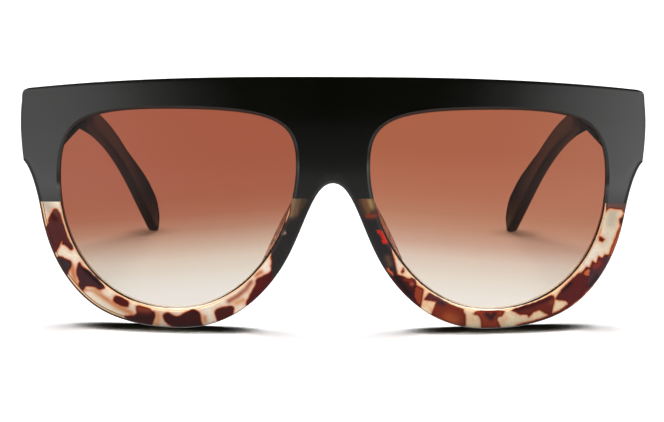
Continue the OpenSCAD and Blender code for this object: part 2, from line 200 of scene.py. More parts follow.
def face_chain():
    """Outline of the wearer's left half, from the middle of the brow round to the nose arch."""
    brow_end = Vector((END_X - CORNER_IN, brow_at(END_X - CORNER_IN)))
    chain = [Vector((brow_end.x * i / DENSE, brow_at(brow_end.x * i / DENSE))) for i in range(DENSE + 1)]
    corner_point = Vector((END_X - SIDE_IN, brow_at(END_X)))
    side_top = corner_point - Vector((0, CORNER_DOWN))
    side_low = Vector((END_X - SIDE_IN_LOW, END_LOW_Z + SIDE_UP))
    corner = [brow_end, brow_end.lerp(corner_point, CORNER_FULL),
              side_top.lerp(corner_point, CORNER_FULL), side_top]
    side = [side_top, Vector((END_X + SIDE_BOW, mix(side_top.y, side_low.y, 1 / 3))),
            Vector((END_X, mix(side_top.y, side_low.y, 2 / 3))), side_low]
    rim_top = rim_point(LOWER_OUTER, RIM_START)
    slope = [side_low, Vector((END_X - SLOPE_IN, END_LOW_Z - SLOPE_DOWN)), rim_top + SLOPE_LEAD, rim_top]
    for curve in (corner, side, slope):
        chain += [bezier(curve, i / DENSE) for i in range(1, DENSE + 1)]
    chain += [rim_point(LOWER_OUTER, mix(RIM_START, 1, i / DENSE)) for i in range(1, DENSE + 1)]
    chain += [rim_point(LOWER_INNER, mix(0, RIM_END, i / DENSE)) for i in range(1, DENSE + 1)]
    foot = chain[-1]
    leave = (foot - chain[-2]).normalized()
    arch = [foot, foot + leave * ARCH_REACH, Vector((foot.x * ARCH_FLAT, ARCH_Z)), Vector((0.0, ARCH_Z))]
    return chain + [bezier(arch, i / DENSE) for i in range(1, DENSE + 1)]


def thinned(points, closed, longest=0.55, turn=math.radians(6)):
    """Keeps enough points of a dense line that each step is short and turns little."""
    kept = [points[0]]
    way = None
    count = len(points)
    for i in range(1, count if closed else count - 1):
        step = points[(i + 1) % count] - points[i]
        if step.length < 1e-9:
            continue
        if way is None:
            way = step.normalized()
        turned = way.angle(step)
        if (points[i] - kept[-1]).length >= longest or turned >= turn:
            kept.append(points[i])
            way = step.normalized()
    if closed and (kept[-1] - kept[0]).length < longest / 3:
        kept.pop()
    return kept if closed else kept + [points[-1]]


def normals(points, closed):
    """Unit normals to the left of a line's way, in the plane of the face."""
    count = len(points)
    result = []
    for i in range(count):
        before = points[i - 1] if closed or i > 0 else points[i]
        after = points[(i + 1) % count] if closed or i < count - 1 else points[i]
        w = (after - before).normalized()
        result.append(Vector((-w.y, w.x)))
    return result


def inside_all(points, polygon):
    """Which of the points, an array of x and z, lie in the polygon?"""
    hit = np.zeros(len(points), bool)
    x, z = points[:, 0], points[:, 1]
    for a, b in zip(polygon, polygon[1:] + polygon[:1]):
        if a[1] != b[1]:
            crosses = (a[1] > z) != (b[1] > z)
            hit ^= crosses & (x < (b[0] - a[0]) * (z - a[1]) / (b[1] - a[1]) + a[0])
    return hit


def distance_all(points, line, closed):
    """Distance of the points, an array of x and z, from a line of points."""
    best = np.full(len(points), 1e9)
    count = len(line)
    for i in range(count if closed else count - 1):
        a = np.array(line[i])
        way = np.array(line[(i + 1) % count]) - a
        along = np.clip((points - a) @ way / max(way @ way, 1e-12), 0, 1)
        best = np.minimum(best, np.hypot(*(points - a - along[:, None] * way).T))
    return best


def bow(x, depth):
    """How far behind the middle of the face a point lies, sunk by depth behind the curved face."""
    return FACE_R - math.sqrt((FACE_R - depth) ** 2 - x * x)


def place(x, z, depth):
    """A point of the face's outline, sunk by depth behind the curved face, in metres. The
    end-pieces lean in toward the joint."""
    y = bow(x, depth)
    reach = JOINT_Y - FACE_Y
    if abs(x) > TEMPLE_OUT_X:
        start = bow(x, 0.0)
        lean = min(1.0, max(0.0, (y - start) / (reach - start)))
        x = math.copysign(mix(abs(x), TEMPLE_OUT_X, lean), x)
    return Vector((x * MM, (y + FACE_Y) * MM, z * MM))


def arc(radius, start_depth, way):
    """Insets and depths round an edge: way 1 goes from the face into the wall, -1 out again."""
    pairs = []
    for i in range(ARC_STEPS + 1):
        a = math.pi / 2 * i / ARC_STEPS
        if way > 0:
            pairs.append((radius * (1 - math.sin(a)), start_depth + radius * (1 - math.cos(a))))
        else:
            pairs.append((radius * (1 - math.cos(a)), start_depth - radius * (1 - math.sin(a))))
    return pairs


# How near the border a point inside a cap may lie, as a share of the spacing, and how many points
# are compared with the border at a time
BORDER_SHARE = 0.6
AT_A_TIME = 2000


def cap_points(border, polygon, holes, zones):
    """Even points inside a cap, clear of its border. Each zone is a lowest z and a spacing."""
    tops = [low for low, _ in zones[1:]] + [1e9]
    edge = np.array(border)
    kept = []
    for (low, grid), top in zip(zones, tops):
        low = max(low, edge[:, 1].min())
        top = min(top, edge[:, 1].max())
        rows = []
        for j, z in enumerate(np.arange(low, top, grid)):
            x = np.arange(edge[:, 0].min() + 0.5 * (j % 2) * grid, edge[:, 0].max(), grid)
            rows.append(np.stack([x, np.full(len(x), z)], axis=1))
        points = np.concatenate(rows)
        points = points[inside_all(points, polygon)]
        for hole in holes:
            points = points[~inside_all(points, hole)]
        for part in np.array_split(points, max(1, len(points) // AT_A_TIME)):
            gap = np.hypot(part[:, :1] - edge[:, 0], part[:, 1:] - edge[:, 1]).min(axis=1)
            kept += [Vector(p) for p in part[gap > BORDER_SHARE * grid]]
    return kept


def cap_faces(bm, rim_loops, polygon, holes, depth, zones, flip):
    """Fills a cap between loops of existing vertices with a fine, even mesh."""
    coords, verts, edges = [], [], []
    for loop in rim_loops:
        base = len(coords)
        coords += [c for c, _ in loop]
        verts += [v for _, v in loop]
        edges += [(base + i, base + (i + 1) % len(loop)) for i in range(len(loop))]
    coords += cap_points(coords, polygon, holes, zones)
    out, _, faces, origin, _, _ = delaunay_2d_cdt(coords, edges, [], 0, 1e-7)
    made = []
    for i, c in enumerate(out):
        known = [verts[k] for k in origin[i] if k < len(verts)]
        made.append(known[0] if known else bm.verts.new(place(c.x, c.y, depth)))
    flat = np.array(out)
    middles = np.array([flat[f].mean(axis=0) for f in faces])
    wanted = inside_all(middles, polygon)
    for hole in holes:
        wanted &= ~inside_all(middles, hole)
    for f, use in zip(faces, wanted):
        corners = [made[i] for i in f]
        if use and len(set(corners)) == 3:
            bm.faces.new(corners[::-1] if flip else corners)


def strip(bm, rings, closed, flip):
    """Quads between neighbouring rings of vertices."""
    for a, b in zip(rings, rings[1:]):
        count = len(a)
        for i in range(count if closed else count - 1):
            j = (i + 1) % count
            quad = [a[i], a[j], b[j], b[i]]
            bm.faces.new(quad[::-1] if flip else quad)


def tube(bm, rings):
    """Joins closed rings and closes both ends."""
    strip(bm, rings, True, False)
    bm.faces.new(rings[0])
    bm.faces.new(rings[-1][::-1])


def sheet_rings(bm, loop, out, profile):
    """Rings of vertices along a closed line of the face, one for each inset and depth of the
    profile, with the flat lines that they lie on."""
    flat = [[p + n * inset for p, n in zip(loop, out)] for inset, _ in profile]
    rings = [[bm.verts.new(place(q.x, q.y, depth)) for q in line]
             for line, (_, depth) in zip(flat, profile)]
    return rings, flat


def mark_sharp(bm, degrees=35):
    """Smooth faces, with the edges that turn more than this kept sharp."""
    limit = math.radians(degrees)
    for f in bm.faces:
        f.smooth = True
    for e in bm.edges:
        e.smooth = len(e.link_faces) == 2 and e.calc_face_angle(math.pi) < limit


def as_object(bm, name):
    """Puts a mesh into a new object of the scene."""
    mesh = bpy.data.meshes.new(name)
    bm.to_mesh(mesh)
    bm.free()
    obj = bpy.data.objects.new(name, mesh)
    bpy.context.scene.collection.objects.link(obj)
    return obj


def piece(bm, name, material, body, nodes):
    """A finished mesh object that rides on a body and stands for CAD nodes."""
    bmesh.ops.recalc_face_normals(bm, faces=bm.faces[:])
    mark_sharp(bm)
    for v in bm.verts:
        v.co.z = max(v.co.z, 0.0)
    obj = as_object(bm, name)
    obj.data.materials.append(material)
    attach(obj, body)
    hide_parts(*nodes)
    return obj


def mirrored(bm):
    """A copy of the mesh for the wearer's other side."""
    other = bm.copy()
    bmesh.ops.scale(other, vec=(-1, 1, 1), verts=other.verts[:])
    bmesh.ops.reverse_faces(other, faces=other.faces[:])
    return other


def pair(bm, name, materials, bodies, stands_for):
    """The wearer's left piece and its mirror image for the right."""
    made = []
    for mesh, side, material, body in zip((bm, mirrored(bm)), ("left", "right"), materials, bodies):
        made.append(piece(mesh, f"{name}_{side}", material, body, [f"{stands_for}_{side}"]))
    return made


def joined(a, b):
    """Moves the mesh b into the mesh a."""
    mesh = bpy.data.meshes.new("joined")
    b.to_mesh(mesh)
    b.free()
    a.from_mesh(mesh)
    bpy.data.meshes.remove(mesh)
    return a


def cut_box(bm, low, high):
    """Cuts a box, given in millimetres, out of a closed mesh."""
    tool_bm = bmesh.new()
    bmesh.ops.create_cube(tool_bm, size=1.0)
    bmesh.ops.scale(tool_bm, vec=(high - low) * MM, verts=tool_bm.verts[:])
    bmesh.ops.translate(tool_bm, vec=(high + low) / 2 * MM, verts=tool_bm.verts[:])
    body = as_object(bm, "body")
    tool = as_object(tool_bm, "tool")
    cut = body.modifiers.new("cut", "BOOLEAN")
    cut.operation = "DIFFERENCE"
    cut.solver = "EXACT"
    cut.object = tool
    done = bpy.data.meshes.new_from_object(body.evaluated_get(bpy.context.evaluated_depsgraph_get()))
    result = bmesh.new()
    result.from_mesh(done)
    meshes = [body.data, tool.data, done]
    for obj in (body, tool):
        bpy.data.objects.remove(obj)
    for mesh in meshes:
        bpy.data.meshes.remove(mesh)
    return result


# Materials

ACETATE_IOR = 1.49
LENS_IOR = 1.24
# Height of the ripples in a polished surface, in metres
RIPPLE_HEIGHT = 0.00002
WHITE = (1.0, 1.0, 1.0, 1.0)


def new_material(name):
    material = bpy.data.materials.new(name)
    material.use_nodes = True
    tree = material.node_tree
    shader = tree.nodes["Principled BSDF"]
    return material, tree, shader


def fill(tree, made, sockets):
    """Gives sockets of a node, by name or number, a value or the output of another node."""
    for socket, value in sockets.items():
        if isinstance(value, bpy.types.NodeSocket):
            tree.links.new(value, made.inputs[socket])
        else:
            made.inputs[socket].default_value = value


def node(tree, kind, sockets=None, **settings):
    """Adds a shader node."""
    made = tree.nodes.new(kind)
    for key, value in settings.items():
        setattr(made, key, value)
    fill(tree, made, sockets or {})
    return made


def calc(tree, operation, *values):
    """A sum, a product or the like of outputs and numbers."""
    return node(tree, "ShaderNodeMath", dict(enumerate(values)), operation=operation).outputs[0]


def noise(tree, coords, scale, detail):
    sockets = {"Vector": coords, "Scale": scale, "Detail": detail}
    return node(tree, "ShaderNodeTexNoise", sockets).outputs["Fac"]


def streaks(tree, coords, scales, detail):
    """Noise with a scale for each axis."""
    stretch = node(tree, "ShaderNodeMapping", {"Vector": coords, "Scale": scales})
    return noise(tree, stretch.outputs["Vector"], 1.0, detail)


def ramp(tree, source, stops):
    """A colour that follows the source. Each stop is a place from 0 to 1 and a colour."""
    made = node(tree, "ShaderNodeValToRGB", {"Fac": source})
    elements = made.color_ramp.elements
    while len(elements) < len(stops):
        elements.new(0.5)
    for element, (position, colour) in zip(elements, stops):
        element.position = position
        element.color = (*colour, 1.0)
    return made.outputs["Color"]


def srgb(r, g, b):
    """A colour given in the 0 to 255 steps of a picture, as a shader takes it."""
    def linear(c):
        c /= 255
        return c / 12.92 if c <= 0.04045 else ((c + 0.055) / 1.055) ** 2.4
    return linear(r), linear(g), linear(b)


def polish(tree, shader, roughness, uneven, bump):
    """Fine unevenness of a polished surface: patches that are a little duller, and ripples."""
    coords = node(tree, "ShaderNodeTexCoord").outputs["Object"]
    patches = noise(tree, coords, 120.0, 3.0)
    spans = {"Value": patches, "To Min": roughness - uneven, "To Max": roughness + uneven}
    dull = node(tree, "ShaderNodeMapRange", spans)
    ripples = {"Height": noise(tree, coords, 900.0, 2.0), "Strength": bump, "Distance": RIPPLE_HEIGHT}
    bumps = node(tree, "ShaderNodeBump", ripples)
    fill(tree, shader, {"Roughness": dull.outputs["Result"], "Normal": bumps.outputs["Normal"]})
    return coords


def rise(tree, source, low, high):
    """Goes smoothly from 0 to 1 while the source goes from low to high."""
    sockets = {"Value": source, "From Min": low, "From Max": high}
    return node(tree, "ShaderNodeMapRange", sockets, interpolation_type="SMOOTHSTEP").outputs["Result"]


def blend(tree, share, first, second):
    """Mixes two colours, each an output of a node or a colour."""
    first, second = ((*c, 1.0) if isinstance(c, tuple) else c for c in (first, second))
    sockets = {"Fac": share, "Color1": first, "Color2": second}
    return node(tree, "ShaderNodeMixRGB", sockets).outputs["Color"]


def mixed(tree, share, first, second):
    """Mixes two shaders."""
    return node(tree, "ShaderNodeMixShader", {0: share, 1: first, 2: second}).outputs[0]


def black_acetate(name, shine, sheer):
    """Gloss black. The shine fades where the surface is seen more nearly edge on than sheer."""
    material, tree, shader = new_material(name)
    coords = polish(tree, shader, roughness=0.06, uneven=0.02, bump=0.015)
    if sheer < 1:
        edge_on = node(tree, "ShaderNodeLayerWeight").outputs["Facing"]
        shine = calc(tree, "MULTIPLY", rise(tree, edge_on, sheer + 0.2, sheer), shine)
    tint = ramp(tree, noise(tree, coords, 60.0, 4.0),
                [(0.35, (0.0022, 0.0024, 0.0014)), (0.7, (0.003, 0.0032, 0.002))])
    fill(tree, shader, {"Base Color": tint, "IOR": ACETATE_IOR, "Specular IOR Level": shine})
    return material


def tortoise_acetate():
    """Cream with dark blotches. The rim's mesh carries how deep each point lies in a blotch, the
    colours, how far it is from the outline and the opening, and how strong the lines there are.
    The lines and bands along the outer edge and round the opening are painted shade and painted
    light."""
    material, tree, shader = new_material("tortoise_acetate")
    coords = polish(tree, shader, roughness=0.08, uneven=0.03, bump=0.1)

    def carried(name, output="Fac"):
        return node(tree, "ShaderNodeAttribute", attribute_name=name).outputs[output]

    outer, opening, trim = carried("outer"), carried("opening"), carried("trim")
    shift = calc(tree, "MULTIPLY_ADD", noise(tree, coords, 900.0, 3.0), 0.4, -0.2)
    patchy = rise(tree, noise(tree, coords, 260.0, 4.0), 0.35, 0.75)
    warm = calc(tree, "MULTIPLY", patchy, 0.22)
    grain = calc(tree, "MULTIPLY", rise(tree, noise(tree, coords, 2200.0, 2.0), 0.4, 0.7), 0.16)
    # From far round a blotch to its middle: glow, halo, core and heart
    depth = calc(tree, "ADD", carried("blotch"), shift)
    glow = calc(tree, "MULTIPLY", rise(tree, depth, -1.5, -0.2), 0.28)
    halo = rise(tree, depth, -0.5, 0.0)
    core = rise(tree, depth, -0.1, 0.08)
    heart = rise(tree, depth, 0.05, 0.4)
    rust = blend(tree, warm, srgb(96, 28, 14), srgb(60, 16, 10))
    tone = blend(tree, heart, rust, carried("tone", "Color"))
    lighter = node(tree, "ShaderNodeVectorMath", {0: tone, "Scale": 2.0}, operation="SCALE")
    tone = blend(tree, grain, tone, lighter.outputs["Vector"])
    # Painted light: an orange band on the rounded edge round the opening and, on the wearer's right rim,
    # along the outer edge
    bevel = blend(tree, core, srgb(244, 198, 152), tone)
    # Painted shade: dark maroon for the shaded rounding along the rim's outer edge
    painted_edge_shade = blend(tree, patchy, srgb(44, 16, 10), srgb(90, 36, 22))
    # Painted shade: the dark line round the opening, where the lens sits in its groove, is as wide as
    # the mesh says
    width = calc(tree, "MAXIMUM", calc(tree, "ADD", carried("line"), shift), 0.03)
    line = rise(tree, calc(tree, "DIVIDE", opening, width), 0.38, 0.28)
    colour = carried("ground", "Color")
    for share, paint in ((warm, srgb(246, 204, 162)),
                         (grain, srgb(170, 140, 112)),
                         (glow, srgb(222, 146, 96)),
                         (halo, srgb(206, 106, 54)),
                         (core, tone),
                         # Painted shade and painted light along the outer edge: dark, orange, dark on
                         # the wider stretch
                         (calc(tree, "MULTIPLY", rise(tree, outer, 1.95, 1.8), trim), painted_edge_shade),
                         (calc(tree, "MULTIPLY", rise(tree, outer, 1.7, 1.55), trim), bevel),
                         (rise(tree, outer, 1.15, 0.9), painted_edge_shade),
                         # Painted light: the orange band on the opening's rounded edge
                         (rise(tree, opening, 0.66, 0.54), bevel),
                         # Painted highlight: a near-white band at the opening's edge, partly the wall's
                         # cream, partly the lit edge of the lens
                         (rise(tree, opening, 0.34, 0.24), srgb(250, 238, 222)),
                         # Painted shade of the lens's groove
                         (line, srgb(34, 16, 10)),
                         # Painted highlight: the wall behind the lens in near-white, partly its cream,
                         # partly the lit edge of the lens
                         (carried("behind"), srgb(252, 246, 238))):
        colour = blend(tree, share, colour, paint)
    fill(tree, shader, {"Base Color": colour, "IOR": ACETATE_IOR, "Specular IOR Level": 0.15,
                        "Subsurface Weight": 0.12, "Subsurface Scale": 0.0006,
                        "Subsurface Radius": (1.0, 0.6, 0.35)})
    return material


def pad_acetate():
    """Clear acetate of the nose pads, streaked along their length."""
    material, tree, shader = new_material("pad_acetate")
    coords = polish(tree, shader, roughness=0.1, uneven=0.04, bump=0.1)
    tint = ramp(tree, streaks(tree, coords, (1300, 1300, 90), 3.0),
                [(0.4, srgb(48, 22, 14)), (0.46, srgb(150, 84, 50)), (0.6, srgb(204, 140, 94))])
    fill(tree, shader, {"Base Color": tint, "IOR": ACETATE_IOR, "Specular IOR Level": 0.2,
                        "Subsurface Weight": 0.3, "Subsurface Scale": 0.001})
    return material


# How much the lens's tint drops toward the temple, in millimetres for each millimetre
TINT_TILT = 0.1
# Where the ramp of the lens's colours starts, and how far up it runs
TINT_LOW_Z = 5.4
TINT_SPAN = 50.0

# Colours of the two lenses by height, from clear at the foot to brown at the brow. The wearer's
# left lens fades more gently.
TINT_RIGHT = [
    (0.12, (240, 235, 229)), (0.19, (235, 228, 217)), (0.287, (225, 207, 190)),
    (0.358, (206, 174, 153)), (0.43, (188, 136, 112)), (0.50, (177, 111, 87)),
    (0.573, (172, 101, 77)), (0.668, (171, 97, 74)), (0.81, (170, 95, 72))]
TINT_LEFT = [
    (0.10, (242, 237, 229)), (0.19, (236, 226, 213)), (0.287, (226, 204, 187)),
    (0.358, (208, 168, 147)), (0.43, (197, 145, 119)), (0.50, (188, 128, 101)),
    (0.573, (185, 117, 91)), (0.668, (181, 110, 83)), (0.81, (176, 103, 76))]


def lens_material(name, stops):
    """Brown that fades out downward, and a little sooner toward the nose."""
    material, tree, shader = new_material(name)
    coords = polish(tree, shader, roughness=0.01, uneven=0.005, bump=0.02)
    split = node(tree, "ShaderNodeSeparateXYZ", {"Vector": coords}).outputs
    tilted = calc(tree, "MULTIPLY_ADD", calc(tree, "ABSOLUTE", split["X"]), TINT_TILT, split["Z"])
    span = {"Value": tilted, "From Min": TINT_LOW_Z * MM, "From Max": (TINT_LOW_Z + TINT_SPAN) * MM}
    height = node(tree, "ShaderNodeMapRange", span)
    tint = ramp(tree, height.outputs["Result"], [(at, srgb(*colour)) for at, colour in stops])
    fill(tree, shader, {"Base Color": tint, "Transmission Weight": 1.0, "IOR": LENS_IOR})
    shadow = node(tree, "ShaderNodeLightPath").outputs["Is Shadow Ray"]
    both = mixed(tree, shadow, shader.outputs[0], node(tree, "ShaderNodeBsdfTransparent").outputs[0])
    fill(tree, tree.nodes["Material Output"], {"Surface": both})
    return material


def hinge_metal():
    material, tree, shader = new_material("hinge_metal")
    coords = polish(tree, shader, roughness=0.3, uneven=0.08, bump=0.2)
    tint = ramp(tree, streaks(tree, coords, (300, 300, 6000), 2.0),
                [(0.3, (0.52, 0.5, 0.46)), (0.7, (0.66, 0.64, 0.6))])
    fill(tree, shader, {"Base Color": tint, "Metallic": 1.0})
    return material


BLACK = black_acetate("black_acetate", shine=0.5, sheer=1.0)
TEMPLE_BLACK = black_acetate("black_acetate_temple", shine=0.12, sheer=0.6)
TORTOISE = tortoise_acetate()
PAD = pad_acetate()
LENS_LEFT = lens_material("lens_left", TINT_LEFT)
LENS_RIGHT = lens_material("lens_right", TINT_RIGHT)
METAL = hinge_metal()

# The front

ON_FRONT = ("front", "front")
FRONT_EDGE = 0.9
BACK_EDGE = 0.7
OPENING_EDGE = 0.8
ARC_STEPS = 6
# Each zone of a flat face is a lowest z and a spacing of its points. The spacing is fine where the
# tortoiseshell's pattern lies.
CAP_GRID = 1.2
TORTOISE_TOP_Z = SPLICE_INNER + 2.5
FRONT_ZONES = [(-1.0, 0.3), (TORTOISE_TOP_Z, CAP_GRID)]
BACK_ZONES = [(-1.0, 0.8), (TORTOISE_TOP_Z, CAP_GRID)]
LENS_ZONES = [(-1.0, 2.0)]
# The butt block. The nearly sharp back edge goes on this far below it.
BLOCK_LAP = 0.2
BLOCK_LOW_Z = END_LOW_Z - BLOCK_LAP
BLOCK_HIGH_Z = ROOT_Z + ROOT_H / 2
BLOCK_STATIONS = 18
BLOCK_INSET = 0.02
BLOCK_BEVEL = 0.35
# Radius of the back edge where the block carries the wall on, and how soon it grows beside that
NEARLY_SHARP = 0.03
SHARP_FADE = 1.2


def back_edge_at(p):
    """The back edge is rounded, except where the butt block carries the wall on."""
    if p.x < TEMPLE_OUT_X - 1:
        return BACK_EDGE
    near = min(p.y - BLOCK_LOW_Z, BLOCK_HIGH_Z - p.y)
    return mix(BACK_EDGE, NEARLY_SHARP, ease(0.5 + near / SHARP_FADE))


def half_front():
    """The wearer's left half of the front, open at x = 0."""
    bm = bmesh.new()
    chain = thinned(face_chain(), False)
    # The chain runs clockwise, so its left is outside
    inward = [-n for n in normals(chain, False)]
    inward[0] = Vector((0.0, -1.0))
    inward[-1] = Vector((0.0, 1.0))
    profiles = [arc(FRONT_EDGE, 0.0, 1) + [(0.0, FRONT_T / 2)] + arc(back_edge_at(p), FRONT_T, -1)
                for p in chain]
    rings, flat = [], []
    for k in range(len(profiles[0])):
        line = [p + n * profile[k][0] for p, n, profile in zip(chain, inward, profiles)]
        flat.append(line)
        rings.append([bm.verts.new(place(q.x, q.y, edge[k][1])) for q, edge in zip(line, profiles)])
    strip(bm, rings, False, False)

    # Round the opening: a bevel in front, the groove for the lens, and a rounded back edge
    groove_front = GROOVE_LIP - SEAT_CLEAR
    groove_back = GROOVE_LIP + LENS_T + SEAT_CLEAR
    opening = [(OPENING_EDGE, 0.0), (OPENING_EDGE - 0.03, 0.03), (0.04, OPENING_EDGE - 0.06),
               (0.0, OPENING_EDGE), (0.0, groove_front), (GROOVE_DEPTH, groove_front),
               (GROOVE_DEPTH, groove_back), (0.0, groove_back)]
    opening += arc(BACK_EDGE, FRONT_T, -1)
    loop = thinned(lens_loop(), True)
    lens_rings, lens_flat = sheet_rings(bm, loop, normals(loop, True), opening)
    strip(bm, lens_rings, True, True)

    for k, depth, zones, flip in ((0, 0.0, FRONT_ZONES, False), (-1, FRONT_T, BACK_ZONES, True)):
        outer = list(zip(flat[k], rings[k]))
        top, low = flat[k][0].y, flat[k][-1].y
        steps = int((top - low) / CAP_GRID)
        for i in range(1, steps):
            c = Vector((0.0, mix(low, top, i / steps)))
            outer.append((c, bm.verts.new(place(0.0, c.y, depth))))
        hole = list(zip(lens_flat[k], lens_rings[k]))
        cap_faces(bm, [outer, hole], [c for c, _ in outer], [lens_flat[k]], depth, zones, flip)
    return bm, chain, loop


def splice_plane():
    """A point on the line between the two colours, and the direction up from it."""
    way = Vector((END_X - LENS_IN_X, 0.0, SPLICE_OUTER - SPLICE_INNER)).normalized()
    return Vector((END_X, 0.0, SPLICE_OUTER)) * MM, Vector((-way.z, 0.0, way.x))


def half_of(bm, above):
    """The part of a mesh above or below the line between the colours, closed at the cut."""
    part = bm.copy()
    point, up = splice_plane()
    geometry = part.verts[:] + part.edges[:] + part.faces[:]
    result = bmesh.ops.bisect_plane(part, geom=geometry, dist=1e-8, plane_co=point, plane_no=up,
                                    clear_inner=above, clear_outer=not above)
    cut = [e for e in result["geom_cut"] if isinstance(e, bmesh.types.BMEdge) and e.is_valid]
    bmesh.ops.triangle_fill(part, use_beauty=True, edges=cut)
    return part


def chain_x(chain, z):
    """How far out the outline is at a height, on the end-piece."""
    best = END_X
    for a, b in zip(chain, chain[1:]):
        if min(a.y, b.y) <= z <= max(a.y, b.y) and min(a.x, b.x) > LENS_OUT_X and a.y != b.y:
            best = mix(a.x, b.x, (z - a.y) / (b.y - a.y))
    return best


def butt_block(chain):
    """The block behind the end-piece that the temple closes against."""
    bm = bmesh.new()
    root_back = JOINT_Y - SWING_GAP / 2
    # How far the block reaches into the front, and how near the back its bevelled edges lie
    hide, bevelled = 0.8, 2.8
    rings = []
    for k in range(BLOCK_STATIONS + 1):
        z = mix(BLOCK_LOW_Z + BLOCK_LAP, BLOCK_HIGH_Z, k / BLOCK_STATIONS)
        x = chain_x(chain, z) - BLOCK_INSET
        start = place(x, z, FRONT_T - hide) / MM
        inner_start = FACE_Y + bow(TEMPLE_IN_X, FRONT_T - hide)
        last = min(x, TEMPLE_OUT_X)
        plan = [Vector((TEMPLE_IN_X, inner_start)), Vector((TEMPLE_IN_X, root_back)),
                Vector((last, root_back)), Vector((start.x, start.y))]
        rings.append([bm.verts.new(Vector((p.x, p.y, z)) * MM) for p in plan])
    tube(bm, rings)
    bmesh.ops.recalc_face_normals(bm, faces=bm.faces[:])
    edges = [e for e in bm.edges if e.calc_face_angle(0.0) > math.radians(50)
             and max(v.co.y for v in e.verts) > (root_back - bevelled) * MM]
    bmesh.ops.bevel(bm, geom=edges, offset=BLOCK_BEVEL * MM, segments=3, profile=0.5, affect="EDGES",
                    clamp_overlap=True)
    return bm


# The tortoiseshell's blotches, seen from the front in millimetres: a colour and an outline of x, z.
# Those of the wearer's right rim are round and soft, those of the left one angular and crisp.
BLOTCHES_RIGHT = [
    ((85, 45, 45), [
        (-66.3, 27.4), (-64.9, 26.7), (-62.8, 20.5), (-61.8, 19.0), (-61.7, 18.1), (-62.4, 17.9),
        (-63.6, 19.0), (-64.4, 19.2), (-64.3, 20.1), (-65.7, 17.5), (-66.5, 17.2), (-68.3, 22.6),
        (-67.6, 24.1), (-67.7, 24.8)]),
    ((62, 50, 52), [
        (-65.8, 16.0), (-62.8, 15.4), (-62.1, 14.3), (-62.9, 12.6), (-63.1, 11.7), (-63.9, 11.7)]),
    ((70, 42, 46), [
        (-60.3, 14.9), (-59.3, 13.9), (-58.0, 13.2), (-55.1, 10.5), (-54.1, 9.2), (-55.5, 8.6),
        (-56.7, 9.2), (-58.6, 9.3), (-59.5, 8.1), (-60.6, 9.6), (-60.3, 10.4), (-61.0, 12.5)]),
    ((84, 28, 20), [
        (-51.2, 7.3), (-48.5, 6.1), (-48.9, 4.7), (-52.0, 5.8)]),
    ((62, 30, 28), [
        (-49.5, 2.2), (-46.5, 3.0), (-46.5, 5.1), (-43.4, 4.6), (-43.0, 4.0), (-42.2, 3.8), (-42.0, 2.9),
        (-42.9, 0.6), (-44.4, 0.3)]),
    ((66, 28, 25), [
        (-40.2, 2.7), (-38.9, 3.7), (-36.7, 2.9), (-33.2, 4.7), (-31.4, 3.9), (-31.0, 1.8), (-31.3, 0.3),
        (-38.0, 0.4)]),
    ((75, 32, 28), [
        (-27.7, 4.4), (-25.9, 5.4), (-23.4, 5.6), (-23.6, 3.2), (-24.8, 2.3), (-26.8, 1.6)]),
    ((76, 30, 30), [
        (-14.4, 15.3), (-14.7, 14.0), (-17.8, 12.3), (-18.1, 11.1), (-19.8, 7.7), (-20.3, 6.1),
        (-19.2, 5.1), (-16.6, 7.3), (-12.4, 12.6), (-11.7, 15.0), (-13.5, 16.4)]),
    ((48, 46, 46), [
        (-10.0, 32.1), (-10.2, 27.9), (-14.2, 19.5), (-14.3, 16.5), (-14.4, 15.0), (-13.3, 11.7),
        (-10.9, 15.0), (-6.7, 23.2), (-3.5, 30.3), (-3.0, 32.6), (-7.7, 32.9)])]
